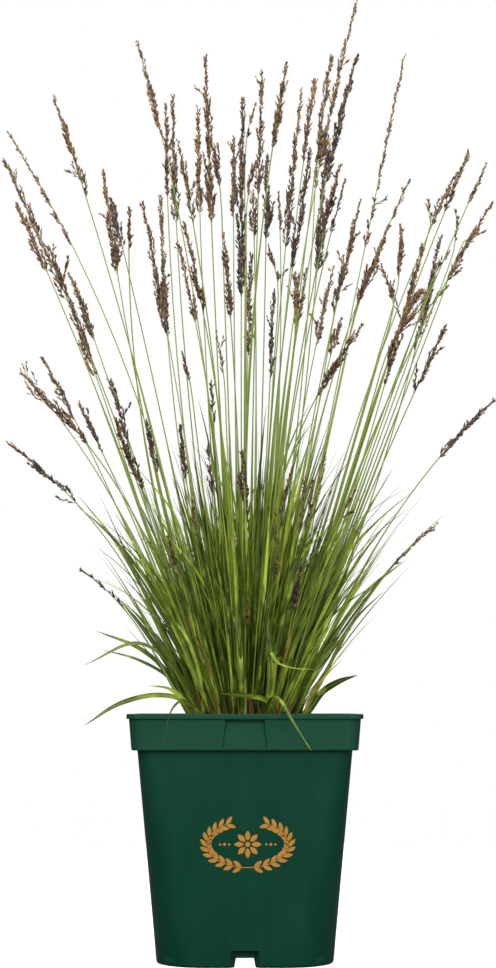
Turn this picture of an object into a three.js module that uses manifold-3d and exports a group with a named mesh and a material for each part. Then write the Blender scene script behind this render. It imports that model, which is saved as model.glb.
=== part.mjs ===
// A moor grass in its square nursery pot. Millimetres, +Z up, the front faces -Y.
// The origin is the centre of the pot's base, on the surface that the pot stands on.
import * as THREE from 'three';
import { mergeVertices } from 'three/addons/utils/BufferGeometryUtils.js';
import Module from 'manifold-3d';

const wasm = await Module();
wasm.setup();

// Pot: half widths at each height, the height of each edge, and the corner radii, which
// grow from the rim down to the foot.
const POT_HEIGHT = 180;
const WALL = 1.3;
const BASE_HALF = 64.85;
const BODY_TOP_HALF = 77.4;
const BASE_EDGE = 2.5;
const BASE_ROUNDING = [{ z: 0, inset: 2.4 }, { z: 0.8, inset: 0.8 }];
const STEP_Z = 154;
const COLLAR_BOTTOM_HALF = 81.5;
const COLLAR_TOP_HALF = 83.3;
const COLLAR_EDGE = { height: 1.2, inset: 1 };
const LIP_HALF = 85;
const LIP_THICKNESS = 3.5;
const LIP_EDGE = 0.6;
const RIM_CORNER = 11;
const FOOT_CORNER = 37;
const CORNER_STEPS = 5;

// Underside: a raised floor with drain holes, inside the skirt that the pot stands on.
const FLOOR_Z = 6.5;
const FLOOR_THICKNESS = 1.5;
const SKIRT_FOOT = 4.4;
const DRAIN_HOLES = 8;
const DRAIN_RADIUS = 4.5;
const DRAIN_CIRCLE = 40;
const DRAIN_SIDES = 10;

// The sunk panel in the middle of each side of the collar.
const PANEL = { bottomWidth: 32.4, topWidth: 28.1, bottomZ: 156.2, topZ: 175.7, depth: 1.8 };

// The notch at the foot of each side: a flared recess and the opening behind it.
// The recess narrows inward to NOTCH_MARGIN wider than the mouth, and the wall behind
// it narrows to NOTCH_WALL_SHARE of its width.
const NOTCH = { bottomWidth: 25.5, topWidth: 21.9, height: 12.3, depth: 5 };
const NOTCH_MARGIN = 1;
const NOTCH_WALL_SHARE = 0.72;
const MOUTH = { bottomWidth: 15.4, topWidth: 12.5, height: 6.5 };
const MOUTH_REACH = 6;

// Cutting blocks start this far outside the face that they cut, and this far below the base.
const OUTSIDE = 2;
const BELOW = 0.01;

// Root ball, tussock and the gap that resting pieces keep.
const GAP = 0.35;
const SOIL_TOP = 168;
const CROWN_RADIUS = 57;
const CROWN_TOP = 176;
const CROWN_EDGE_Z = 171.5;
const CROWN_RIM = 4;
const CROWN_RING = 7;
const CROWN_SIDES = 28;

// Stems. A stem bends away from the sheet by the power BACK_POWER of its height, and
// its panicle is widest below its middle, by the power SWELL_POWER.
const FOOT_SPREAD = 52;
const SPREAD_POWER = 0.7;
const STEM_RADIUS = 0.85;
const NECK_RADIUS = 0.55;
const PANICLE_RADIUS = 2.1;
const TIP_RADIUS = 0.3;
const STEM_SIDES = 5;
const STEM_STEPS = 12;
const BACK_POWER = 1.3;
const SWELL_POWER = 0.8;
const ARC_POINTS = 8;

// Leaf blades: full width to BLADE_FULL_SHARE of the length, then tapering to the tip.
const BLADE_WIDTH = 3.4;
const BLADE_THICKNESS = 0.7;
const BLADE_STEPS = 11;
const BLADE_TIP_SHARE = 0.14;
const BLADE_FULL_SHARE = 0.35;
const BLADE_TAPER_POWER = 1.4;
const BLADE_LEAN = 0.5;

// Vertices closer than this are one vertex.
const MERGE_DISTANCE = 1e-4;

// Stems and leaves were measured against an upright sheet through the pot's axis,
// looked at from this eye point. "back" is how far behind that sheet a point lies.
const EYE = new THREE.Vector3(2, -1500, 186.4);

function alongSight(x, z, back) {
  const reach = (back - EYE.y) / -EYE.y;
  return new THREE.Vector3(EYE.x + (x - EYE.x) * reach, back, EYE.z + (z - EYE.z) * reach);
}

// Each flowering stem: the sheet position of its tip and of the neck where its
// panicle begins, and how far back the tip stands.
const STEMS = [
  { tip: [-187, 607], neck: [-136, 495], back: -15 },
  { tip: [-183, 627], neck: [-133, 538], back: 50 },
  { tip: [-149, 657], neck: [-123, 577], back: -70 },
  { tip: [-176, 570], neck: [-152, 517], back: 62 },
  { tip: [-134, 493], neck: [-113, 434], back: -44 },
  { tip: [-110, 597], neck: [-98, 515], back: 100 },
  { tip: [-90, 568], neck: [-90, 536], back: -112 },
  { tip: [-83, 697], neck: [-65, 627], back: 62 },
  { tip: [-62, 651], neck: [-60, 576], back: -42 },
  { tip: [-56, 654], neck: [-53, 556], back: 128 },
  { tip: [-52, 622], neck: [-40, 556], back: -128 },
  { tip: [-37, 648], neck: [-35, 564], back: 34 },
  { tip: [-31, 687], neck: [-26, 556], back: -80 },
  { tip: [-79, 572], neck: [-59, 466], back: 14 },
  { tip: [-2, 655], neck: [-3, 497], back: -34 },
  { tip: [-9, 623], neck: [-9, 560], back: 150 },
  { tip: [-47, 557], neck: [-32, 486], back: -158 },
  { tip: [-65, 577], neck: [-60, 474], back: 158 },
  { tip: [-16, 544], neck: [-11, 481], back: -118 },
  { tip: [-170, 438], neck: [-120, 384], back: -84 },
  { tip: [-172, 441], neck: [-137, 398], back: 20 },
  { tip: [-181, 385], neck: [-129, 340], back: -26 },
  { tip: [-100, 404], neck: [-78, 348], back: -128 },
  { tip: [-123, 288], neck: [-91, 258], back: -64 },
  { tip: [87, 733], neck: [57, 599], back: 16 },
  { tip: [86, 687], neck: [62, 588], back: -66 },
  { tip: [124, 689], neck: [92, 536], back: 78 },
  { tip: [13, 676], neck: [10, 576], back: 58 },
  { tip: [32, 683], neck: [21, 615], back: -96 },
  { tip: [44, 662], neck: [31, 536], back: 112 },
  { tip: [54, 668], neck: [45, 603], back: -22 },
  { tip: [72, 599], neck: [59, 540], back: -138 },
  { tip: [126, 588], neck: [106, 544], back: 118 },
  { tip: [173, 611], neck: [154, 565], back: -46 },
  { tip: [186, 602], neck: [171, 569], back: 36 },
  { tip: [189, 569], neck: [155, 511], back: -4 },
  { tip: [68, 521], neck: [54, 459], back: 158 },
  { tip: [150, 544], neck: [130, 456], back: 64 },
  { tip: [137, 536], neck: [106, 427], back: -88 },
  { tip: [189, 417], neck: [148, 374], back: 12 },
  { tip: [90, 477], neck: [55, 422], back: -152 },
  { tip: [145, 323], neck: [113, 292], back: -52 },
];

// Each leaf blade: where its foot stands on the tussock (x, y), and the sheet
// positions (x, z, back) that it passes through on its way to the tip.
const LEAVES = [
  { foot: [-42, 9], way: [[-54, 205, 7], [-78, 228, 3], [-112, 242, -6]] },
  { foot: [-46, -11], way: [[-61, 221, -14], [-82, 233, -16], [-122, 216, -20]] },
  { foot: [-44, 2], way: [[-55, 204, -5], [-80, 220, -9], [-108, 228, -12]] },
  { foot: [-36, -32], way: [[-48, 190, -38], [-68, 194, -44], [-96, 187, -50], [-121, 171, -54]] },
  { foot: [-28, -44], way: [[-42, 187, -62], [-50, 189, -78], [-57, 180, -90], [-61, 160, -92]] },
  { foot: [14, -49], way: [[20, 192, -67], [27, 190, -84], [37, 173, -95], [50, 152, -97]] },
  { foot: [27, -44], way: [[17, 190, -53], [-2, 194, -57], [-19, 195, -62]] },
  { foot: [20, -38], way: [[21, 205, -44], [25, 222, -50], [38, 218, -57], [53, 213, -64]] },
  { foot: [41, 14], way: [[64, 232, 24], [92, 272, 34], [122, 296, 42]] },
  { foot: [46, -16], way: [[66, 222, -24], [84, 252, -32], [105, 272, -40]] },
  { foot: [48, 0], way: [[56, 194, -2], [70, 204, -6], [85, 209, -10]] },
  { foot: [-34, 22], way: [[-66, 250, 36], [-96, 306, 48], [-127, 345, 60]] },
  { foot: [-26, -40], way: [[-52, 240, -62], [-74, 290, -84], [-100, 333, -104]] },
  { foot: [32, 30], way: [[60, 255, 50], [86, 320, 72], [112, 365, 92]] },
  { foot: [-20, 44], way: [[-28, 220, 74], [-36, 224, 104], [-44, 196, 142]] },
];

const FINISHES = {
  pot: { color: 0x1f4735, roughness: 0.45 },
  soil: { color: 0x2e2118, roughness: 0.95 },
  crown: { color: 0x6b5a34, roughness: 0.9 },
  stem: { color: 0x7d7546, roughness: 0.7 },
  leaf: { color: 0x6f8f35, roughness: 0.6 },
};

// A square of half width 2 whose corners are quarter circles of radius 1.
function roundedSquare() {
  const outline = new THREE.Shape();
  outline.absarc(1, 1, 1, 0, Math.PI / 2);
  outline.absarc(-1, 1, 1, Math.PI / 2, Math.PI);
  outline.absarc(-1, -1, 1, Math.PI, Math.PI * 1.5);
  outline.absarc(1, -1, 1, Math.PI * 1.5, Math.PI * 2);
  outline.closePath();
  return outline;
}

// A closed square solid with round corners, from [height, half width, corner] stations.
function loft(stations) {
  const steps = stations.length - 1;
  const geometry = new THREE.ExtrudeGeometry(roundedSquare(), {
    steps,
    depth: steps,
    bevelEnabled: false,
    curveSegments: CORNER_STEPS,
  });
  const position = geometry.attributes.position;
  const placed = (value, half, corner) => {
    return value * corner + Math.sign(value) * (half - 2 * corner);
  };
  for (let i = 0; i < position.count; i += 1) {
    const [height, half, corner] = stations[Math.round(position.getZ(i))];
    const x = placed(position.getX(i), half, corner);
    const y = placed(position.getY(i), half, corner);
    position.setXYZ(i, x, y, height);
  }
  return geometry;
}

function solid(geometry) {
  const bare = geometry.clone();
  bare.deleteAttribute('normal');
  bare.deleteAttribute('uv');
  const merged = mergeVertices(bare, MERGE_DISTANCE);
  return new wasm.Manifold(new wasm.Mesh({
    numProp: 3,
    vertProperties: new Float32Array(merged.attributes.position.array),
    triVerts: new Uint32Array(merged.index.array),
  }));
}

function geometryOf(manifold) {
  const mesh = manifold.getMesh();
  const geometry = new THREE.BufferGeometry();
  geometry.setAttribute('position', new THREE.BufferAttribute(mesh.vertProperties, 3));
  geometry.setIndex(new THREE.BufferAttribute(mesh.triVerts, 1));
  return geometry;
}

function bodyHalf(z) {
  return BASE_HALF + (BODY_TOP_HALF - BASE_HALF) * (z - BASE_EDGE) / (STEP_Z - BASE_EDGE);
}

function bodyCorner(z) {
  return FOOT_CORNER + (RIM_CORNER - FOOT_CORNER) * z / STEP_Z;
}

function collarHalf(z) {
  const share = (z - STEP_Z) / (POT_HEIGHT - LIP_THICKNESS - STEP_Z);
  return COLLAR_BOTTOM_HALF + (COLLAR_TOP_HALF - COLLAR_BOTTOM_HALF) * share;
}

// A flared block on the -Y side: it starts "start" out from the axis and runs inward.
// The width and height at the inner end are "inner" times those at the outer end.
function sideBlock({ bottomWidth, topWidth, height }, lowZ, start, length, inner) {
  const outline = new THREE.Shape();
  outline.moveTo(-bottomWidth / 2, 0);
  outline.lineTo(bottomWidth / 2, 0);
  outline.lineTo(topWidth / 2, height);
  outline.lineTo(-topWidth / 2, height);
  outline.closePath();
  const geometry = new THREE.ExtrudeGeometry(outline, { depth: length, bevelEnabled: false });
  const position = geometry.attributes.position;
  for (let i = 0; i < position.count; i += 1) {
    if (position.getZ(i) > length / 2) {
      position.setX(i, position.getX(i) * inner);
    }
  }
  geometry.rotateX(Math.PI / 2);
  geometry.rotateZ(Math.PI);
  geometry.translate(0, -start, lowZ);
  return geometry;
}

function onEachSide(manifold) {
  const quarters = [0, 90, 180, 270].map((angle) => manifold.rotate([0, 0, angle]));
  return wasm.Manifold.union(quarters);
}

// The blocks behind the sunk panels and the notches, where the wall stands further in.
// "grow" widens them, to keep the root ball clear of the same places.
function panelBacking(grow) {
  const { bottomWidth, topWidth, bottomZ, topZ, depth } = PANEL;
  const margin = WALL + grow;
  const size = {
    bottomWidth: bottomWidth + 2 * margin,
    topWidth: topWidth + 2 * margin,
    height: topZ - bottomZ + 2 * margin,
  };
  const inward = LIP_HALF - collarHalf(bottomZ) + depth + margin;
  return onEachSide(solid(sideBlock(size, bottomZ - margin, LIP_HALF, inward, 1)));
}

function notchBacking(grow) {
  const margin = WALL + grow;
  const size = {
    bottomWidth: NOTCH.bottomWidth + 2 * margin,
    topWidth: NOTCH.topWidth + 2 * margin,
    height: NOTCH.height + margin,
  };
  const start = bodyHalf(0) + OUTSIDE;
  const inward = OUTSIDE + NOTCH.depth + margin;
  return onEachSide(solid(sideBlock(size, 0, start, inward, NOTCH_WALL_SHARE)));
}

function outerSolid() {
  const lipUnder = POT_HEIGHT - LIP_THICKNESS;
  const foot = BASE_ROUNDING.map(({ z, inset }) => {
    return [z, BASE_HALF - inset, bodyCorner(z) - inset];
  });
  return solid(loft([
    ...foot,
    [BASE_EDGE, BASE_HALF, bodyCorner(BASE_EDGE)],
    [STEP_Z, BODY_TOP_HALF, RIM_CORNER],
    [STEP_Z, COLLAR_BOTTOM_HALF - COLLAR_EDGE.inset, RIM_CORNER - COLLAR_EDGE.inset],
    [STEP_Z + COLLAR_EDGE.height, COLLAR_BOTTOM_HALF, RIM_CORNER],
    [lipUnder, COLLAR_TOP_HALF, RIM_CORNER],
    [lipUnder, LIP_HALF, RIM_CORNER],
    [POT_HEIGHT - LIP_EDGE, LIP_HALF, RIM_CORNER],
    [POT_HEIGHT, LIP_HALF - LIP_EDGE, RIM_CORNER - LIP_EDGE],
  ]));
}

// The room inside the pot up to topZ, "inset" away from its wall, shelf and floor.
function innerSolid(inset, topZ) {
  const floorTop = FLOOR_Z + FLOOR_THICKNESS;
  const shelfZ = STEP_Z + WALL;
  const gone = WALL + inset;
  return solid(loft([
    [floorTop + inset, bodyHalf(floorTop) - gone, bodyCorner(floorTop) - gone],
    [shelfZ + inset, bodyHalf(shelfZ) - gone, RIM_CORNER - gone],
    [shelfZ + inset, collarHalf(shelfZ) - gone, RIM_CORNER - gone],
    [topZ, collarHalf(topZ) - gone, RIM_CORNER - gone],
  ]));
}

// The hollow inside the skirt, under the raised floor.
function underFloorRoom() {
  const foot = bodyHalf(0) - SKIRT_FOOT;
  const corner = bodyCorner(0) - SKIRT_FOOT;
  const hollow = solid(loft([
    [-OUTSIDE, foot, corner],
    [0, foot, corner],
    [FLOOR_Z, bodyHalf(FLOOR_Z) - WALL, bodyCorner(FLOOR_Z) - WALL],
  ]));
  return hollow.subtract(notchBacking(0));
}

function drainHoles() {
  const hole = new THREE.CylinderGeometry(DRAIN_RADIUS, DRAIN_RADIUS, 2 * FLOOR_Z, DRAIN_SIDES);
  hole.rotateX(Math.PI / 2);
  hole.translate(DRAIN_CIRCLE, 0, FLOOR_Z);
  const holes = [];
  for (let i = 0; i < DRAIN_HOLES; i += 1) {
    holes.push(solid(hole).rotate([0, 0, (i + 0.5) * 360 / DRAIN_HOLES]));
  }
  return wasm.Manifold.union(holes);
}

function panelRecesses() {
  const size = { ...PANEL, height: PANEL.topZ - PANEL.bottomZ };
  const depth = LIP_HALF - collarHalf(PANEL.bottomZ) + PANEL.depth;
  return onEachSide(solid(sideBlock(size, PANEL.bottomZ, LIP_HALF, depth, 1)));
}

function notchRecesses() {
  const start = bodyHalf(0) + OUTSIDE;
  const inward = OUTSIDE + NOTCH.depth;
  const flare = (MOUTH.bottomWidth + NOTCH_MARGIN) / NOTCH.bottomWidth;
  const recess = solid(sideBlock(NOTCH, -BELOW, start, inward, flare));
  const mouth = solid(sideBlock(MOUTH, -BELOW, start, inward + MOUTH_REACH, 1));
  return onEachSide(recess.add(mouth));
}

function potGeometry() {
  const room = innerSolid(0, POT_HEIGHT + OUTSIDE)
    .subtract(panelBacking(0))
    .subtract(notchBacking(0));
  return geometryOf(
    outerSolid()
      .subtract(room)
      .subtract(underFloorRoom())
      .subtract(panelRecesses())
      .subtract(notchRecesses())
      .subtract(drainHoles()),
  );
}

function soilGeometry() {
  const ball = innerSolid(GAP, SOIL_TOP);
  return geometryOf(ball.subtract(panelBacking(GAP)).subtract(notchBacking(GAP)));
}

function crownHeight(radius) {
  return CROWN_TOP - (CROWN_TOP - CROWN_EDGE_Z) * (radius / (CROWN_RADIUS - CROWN_RIM)) ** 2;
}

function crownGeometry() {
  const bottom = SOIL_TOP + GAP;
  const profile = [new THREE.Vector2(0, bottom), new THREE.Vector2(CROWN_RADIUS, bottom)];
  for (let radius = CROWN_RADIUS - CROWN_RIM; radius > 1; radius -= CROWN_RING) {
    profile.push(new THREE.Vector2(radius, crownHeight(radius)));
  }
  profile.push(new THREE.Vector2(0, CROWN_TOP));
  const geometry = new THREE.LatheGeometry(profile, CROWN_SIDES);
  geometry.rotateX(Math.PI / 2);
  return geometryOf(solid(geometry));
}

// Keeps a tube's sections in step: one axis stays level and square to the plan direction.
class GuidedCurve extends THREE.CatmullRomCurve3 {
  computeFrenetFrames(segments) {
    const plan = this.getPoint(1).sub(this.getPoint(0));
    const level = new THREE.Vector3(-plan.y, plan.x, 0).normalize();
    const frames = { tangents: [], normals: [], binormals: [] };
    for (let i = 0; i <= segments; i += 1) {
      const tangent = this.getTangentAt(i / segments);
      const normal = level.clone().addScaledVector(tangent, -level.dot(tangent)).normalize();
      frames.tangents.push(tangent);
      frames.normals.push(normal);
      frames.binormals.push(new THREE.Vector3().crossVectors(tangent, normal));
    }
    return frames;
  }
}

// Extrudes a section along a curve and scales it at each step by sizeAt(share).
function taperedTube(outline, curve, steps, sizeAt) {
  const geometry = new THREE.ExtrudeGeometry(outline, {
    steps,
    extrudePath: curve,
    bevelEnabled: false,
  });
  const centres = curve.getSpacedPoints(steps);
  const position = geometry.attributes.position;
  const point = new THREE.Vector3();
  for (let i = 0; i < position.count; i += 1) {
    point.fromBufferAttribute(position, i);
    const gaps = centres.map((centre) => centre.distanceTo(point));
    const step = gaps.indexOf(Math.min(...gaps));
    point.sub(centres[step]).multiplyScalar(sizeAt(step / steps)).add(centres[step]);
    position.setXYZ(i, point.x, point.y, point.z);
  }
  return geometryOf(solid(geometry));
}

// A foot point on the tussock, just clear of its surface.
function footPoint(x, y, lean) {
  const clear = GAP + STEM_RADIUS * Math.sin(Math.atan(lean));
  return new THREE.Vector3(x, y, crownHeight(Math.hypot(x, y)) + clear);
}

// The stem leaves the tussock the further out the more it leans, so stems fan apart.
function stemCurve({ tip, neck, back }) {
  const tipPoint = alongSight(tip[0], tip[1], back);
  const rise = (neck[1] - CROWN_TOP) / (tip[1] - CROWN_TOP);
  const neckPoint = alongSight(neck[0], neck[1], back * rise ** BACK_POWER);
  const reach = Math.hypot(neckPoint.x, neckPoint.y);
  const lean = reach / (neckPoint.z - CROWN_TOP);
  const spread = FOOT_SPREAD * Math.min(lean, 1) ** SPREAD_POWER;
  const foot = footPoint(spread * neckPoint.x / reach, spread * neckPoint.y / reach, lean);
  const lower = neckPoint.distanceTo(foot);
  const share = lower / (lower + tipPoint.distanceTo(neckPoint));
  const bow = neckPoint.clone()
    .addScaledVector(foot, -((1 - share) ** 2))
    .addScaledVector(tipPoint, -(share ** 2))
    .divideScalar(2 * share * (1 - share));
  const arc = new THREE.QuadraticBezierCurve3(foot, bow, tipPoint);
  return { curve: new GuidedCurve(arc.getPoints(ARC_POINTS)), share };
}

function stemGeometry(stem) {
  const { curve, share } = stemCurve(stem);
  const corners = [];
  for (let i = 0; i < STEM_SIDES; i += 1) {
    const angle = i * 2 * Math.PI / STEM_SIDES;
    corners.push(new THREE.Vector2(Math.cos(angle), Math.sin(angle)));
  }
  const outline = new THREE.Shape(corners);
  return taperedTube(outline, curve, STEM_STEPS, (at) => {
    if (at <= share) {
      return STEM_RADIUS + (NECK_RADIUS - STEM_RADIUS) * at / share;
    }
    const along = (at - share) / (1 - share);
    const swell = Math.sin(Math.PI * along ** SWELL_POWER);
    const thin = NECK_RADIUS + (TIP_RADIUS - NECK_RADIUS) * along;
    return thin + (PANICLE_RADIUS - NECK_RADIUS) * swell;
  });
}

function leafGeometry({ foot, way }) {
  const start = footPoint(foot[0], foot[1], BLADE_LEAN);
  const points = way.map(([x, z, back]) => alongSight(x, z, back));
  const curve = new GuidedCurve([start, ...points]);
  const outline = new THREE.Shape();
  outline.moveTo(-BLADE_WIDTH / 2, 0);
  outline.lineTo(0, -BLADE_THICKNESS / 2);
  outline.lineTo(BLADE_WIDTH / 2, 0);
  outline.lineTo(0, BLADE_THICKNESS / 2);
  outline.closePath();
  return taperedTube(outline, curve, BLADE_STEPS, (at) => {
    const past = Math.max(0, (at - BLADE_FULL_SHARE) / (1 - BLADE_FULL_SHARE));
    const narrowing = past ** BLADE_TAPER_POWER;
    return 1 - (1 - BLADE_TIP_SHARE) * narrowing;
  });
}

const group = new THREE.Group();

function addPiece(name, geometry, finish) {
  const material = new THREE.MeshStandardMaterial({ ...finish, metalness: 0 });
  const mesh = new THREE.Mesh(geometry, material);
  mesh.name = name;
  group.add(mesh);
}

addPiece('pot', potGeometry(), FINISHES.pot);
addPiece('soil', soilGeometry(), FINISHES.soil);
addPiece('crown', crownGeometry(), FINISHES.crown);
STEMS.forEach((stem, index) => {
  const name = `stem_${String(index + 1).padStart(2, '0')}`;
  addPiece(name, stemGeometry(stem), FINISHES.stem);
});
LEAVES.forEach((leaf, index) => {
  const name = `leaf_${String(index + 1).padStart(2, '0')}`;
  addPiece(name, leafGeometry(leaf), FINISHES.leaf);
});

export default group;
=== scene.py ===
"""A moor grass in its square nursery pot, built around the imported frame.

The file is laid out as an add-on and run as a script. Each operator makes one group of
pieces, and the panel lists them. Lengths are metres unless a name says millimetres.
"""

import math
import random

import bmesh
import bpy
import numpy as np
from bpy.props import FloatProperty, FloatVectorProperty, IntProperty, PointerProperty
from mathutils import Matrix, Vector, noise


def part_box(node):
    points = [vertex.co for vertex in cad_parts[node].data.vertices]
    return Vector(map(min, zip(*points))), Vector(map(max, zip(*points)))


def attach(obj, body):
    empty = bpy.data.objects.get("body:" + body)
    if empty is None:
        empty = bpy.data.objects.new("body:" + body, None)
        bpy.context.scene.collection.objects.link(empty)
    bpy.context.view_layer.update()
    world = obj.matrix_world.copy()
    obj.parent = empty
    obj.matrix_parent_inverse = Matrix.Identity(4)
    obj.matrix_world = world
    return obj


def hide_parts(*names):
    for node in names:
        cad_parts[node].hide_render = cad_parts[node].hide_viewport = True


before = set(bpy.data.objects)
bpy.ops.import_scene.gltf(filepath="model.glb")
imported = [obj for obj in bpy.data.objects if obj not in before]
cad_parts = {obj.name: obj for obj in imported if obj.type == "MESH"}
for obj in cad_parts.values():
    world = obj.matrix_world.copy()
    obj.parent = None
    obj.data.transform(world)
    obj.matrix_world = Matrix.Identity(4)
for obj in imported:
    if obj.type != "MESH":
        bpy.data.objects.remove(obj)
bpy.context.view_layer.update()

bl_info = {
    "name": "Potted Moor Grass",
    "version": (1, 0, 0),
    "blender": (4, 5, 0),
    "location": "View3D > Sidebar > Moor Grass",
    "description": "Builds a flowering moor grass in a square nursery pot",
    "category": "Add Mesh",
}

MM = 0.001
BODY = "root"

# The frame's own pieces, by name.
STEM_NODES = sorted(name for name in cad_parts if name.startswith("stem_"))
LEAF_NODES = sorted(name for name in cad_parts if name.startswith("leaf_"))
STEM_NODE_SIDES = 5
LEAF_NODE_SIDES = 4

CROWN_LOW, CROWN_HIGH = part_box("crown")
SOIL_LOW, SOIL_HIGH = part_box("soil")
POT_LOW, POT_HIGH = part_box("pot")
CROWN_RADIUS = CROWN_HIGH.x
CROWN_RISE = 4.5 * MM
CROWN_FLAT_RADIUS = 53 * MM

# Where the reference view's camera stands, and how it looks.
CAMERA = Vector((2.19 * MM, -1.55, 0.1844))
LOOK_UP = math.radians(6.245)
FOCAL_PIXELS = 2045.5
IMAGE_HEIGHT = 968
SENSOR = 36.0

# The point that the upright sheet through the pot's axis is seen from.
EYE = Vector((2 * MM, -1.5, 0.1864))


def srgb(red, green, blue):
    """A colour given in 0 to 255 steps, as the linear colour that shaders use."""
    channels = (red / 255, green / 255, blue / 255)
    return tuple(c / 12.92 if c <= 0.04045 else ((c + 0.055) / 1.055) ** 2.4 for c in channels)


def colour_property(name, description, default):
    return FloatVectorProperty(
        name=name, description=description, subtype="COLOR", size=3, min=0, max=1, default=default
    )


def length_property(name, description, default):
    return FloatProperty(
        name=name, description=description, subtype="DISTANCE", unit="LENGTH", min=0, default=default
    )


def power_property(name, description, default):
    return FloatProperty(
        name=name, description=description, subtype="POWER", unit="POWER", default=default
    )


def share_property(name, description, default):
    return FloatProperty(
        name=name, description=description, subtype="FACTOR", min=0, max=1, default=default
    )


class PotSettings(bpy.types.PropertyGroup):
    """Sizes and colours of the pot and its printed ornament."""

    plastic: colour_property("Plastic", "Colour of the moulded pot", srgb(9, 51, 37))
    plastic_pale: colour_property("Pale plastic", "Its paler mottling", srgb(18, 62, 46))
    # The collar's colour is a painted highlight, where light from above catches the collar and the top
    # of the body.
    plastic_worn: colour_property("Worn plastic", "The handled collar's colour", srgb(33, 72, 55))
    dust: colour_property("Dust", "Dry soil dust on ledges", srgb(120, 112, 92))
    ink: colour_property("Ink", "Colour of the printed ornament", srgb(172, 122, 50))
    edge_round: length_property("Edge rounding", "Radius of the moulded edges", 0.35 * MM)
    print_width: length_property("Print width", "Width of the wreath", 66 * MM)
    print_height: length_property("Print height", "Height of the wreath", 41 * MM)
    print_level: length_property("Print level", "Height of the wreath's middle", 87.6 * MM)


class PlantSettings(bpy.types.PropertyGroup):
    """Sizes and colours of the soil, the tussock, the stems and the leaves."""

    peat: colour_property("Peat", "Colour of the moist peat", srgb(44, 31, 22))
    sheath: colour_property("Sheaths", "Colour of the old sheaths", srgb(120, 92, 56))
    culm: colour_property("Culm", "Colour of the flowering stems", srgb(122, 140, 50))
    leaf: colour_property("Leaf", "Middle green of the leaves", srgb(116, 140, 30))
    # Besides young and old leaves, these two colours paint the patches of light and shade along the
    # blades.
    leaf_bright: colour_property("Bright leaf", "Young leaves", srgb(190, 212, 76))
    leaf_dark: colour_property("Dark leaf", "Old leaves", srgb(32, 46, 8))
    leaf_width: length_property("Leaf width", "Width of a full-grown leaf", 2.3 * MM)
    leaf_thickness: length_property("Leaf thickness", "Thickness at the midrib", 0.3 * MM)
    spikelet_length: length_property("Spikelet length", "Length of one spikelet", 4.8 * MM)
    spikelet_gap: length_property("Spikelet gap", "Distance between spikelets", 1.9 * MM)
    seed: IntProperty(name="Seed", description="Start of every random choice", default=11)


class StageSettings(bpy.types.PropertyGroup):
    """Lamps and floor."""

    floor: colour_property("Floor", "Colour of the floor", srgb(246, 246, 245))
    key_power: power_property("Key lamp", "Power of the front lamp on the left", 66)
    fill_power: power_property("Fill lamp", "Power of the front lamp on the right", 42)
    back_power: power_property("Back lamp", "Power of the lamp behind", 14)
    top_power: power_property("Top lamp", "Power of the overhead lamp", 70)
    base_power: power_property("Base lamp", "Power of the lamp below the pot", 0.08)
    sky: FloatProperty(name="Sky", description="Light from above", min=0, default=0.4)
    haze: FloatProperty(name="Haze", description="Light from the sides", min=0, default=0.03)
    floor_bounce: share_property("Floor bounce", "Share of its light thrown back on the pot", 0.2)
    floor_glow: share_property("Floor glow", "How much it is lit up as the camera sees it", 0.45)


def socket_of(sockets, key):
    """The enabled socket of that name, or the one at that place in the row."""
    if isinstance(key, int):
        return sockets[key]
    return next(s for s in sockets if s.name == key and s.enabled)


def place(tree, kind, inputs=None, **settings):
    """Adds a node, sets its own settings, and fills or links its inputs."""
    node = tree.nodes.new(kind)
    for name, value in settings.items():
        setattr(node, name, value)
    for key, value in (inputs or {}).items():
        target = socket_of(node.inputs, key)
        if isinstance(value, bpy.types.NodeSocket):
            tree.links.new(value, target)
        else:
            target.default_value = value
    return node


def out(node, key=0):
    return socket_of(node.outputs, key)


def calculate(tree, operation, *values):
    """A Math node on up to three values, as its output socket."""
    return out(place(tree, "ShaderNodeMath", dict(enumerate(values)), operation=operation))


def product(tree, first, second):
    return calculate(tree, "MULTIPLY", first, second)


def component(tree, vector, axis):
    """A vector's X, Y or Z."""
    return out(place(tree, "ShaderNodeSeparateXYZ", {0: vector}), axis)


def vector_of(tree, **parts):
    return out(place(tree, "ShaderNodeCombineXYZ", parts))


def rescale(tree, value, low, high, to_low=0.0, to_high=1.0):
    """Maps a value from one range to another, held within it."""
    limits = {"Value": value, "From Min": low, "From Max": high, "To Min": to_low, "To Max": to_high}
    return out(place(tree, "ShaderNodeMapRange", limits))


def blend_colours(tree, share, first, second):
    """Mixes two colours by a share from 0 to 1."""
    node = place(tree, "ShaderNodeMix", data_type="RGBA")
    for key, value in (("Factor", share), ("A", first), ("B", second)):
        target = socket_of(node.inputs, key)
        if isinstance(value, bpy.types.NodeSocket):
            tree.links.new(value, target)
        else:
            target.default_value = value if key == "Factor" else (*value[:3], 1)
    return out(node, "Result")


def ramp(tree, value, *stops):
    """A colour ramp through (place, colour) stops."""
    node = place(tree, "ShaderNodeValToRGB", {"Fac": value})
    elements = node.color_ramp.elements
    while len(elements) < len(stops):
        elements.new(1)
    for element, (at, colour) in zip(elements, stops):
        element.position = at
        element.color = (*colour[:3], 1)
    return out(node, "Color")


def attribute(tree, name):
    """A value that the mesh carries at its points."""
    return out(place(tree, "ShaderNodeAttribute", attribute_name=name), "Fac")


def named_value(tree, name, kind="FLOAT"):
    node = place(tree, "GeometryNodeInputNamedAttribute", {"Name": name}, data_type=kind)
    return out(node, "Attribute")


def grain(tree, where, scale, detail, **more):
    """Noise over a surface, in four dimensions where an input W is given."""
    inputs = {"Vector": where, "Scale": scale, "Detail": detail, **more}
    dimensions = "4D" if "W" in more else "3D"
    return out(place(tree, "ShaderNodeTexNoise", inputs, noise_dimensions=dimensions), "Fac")


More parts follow.
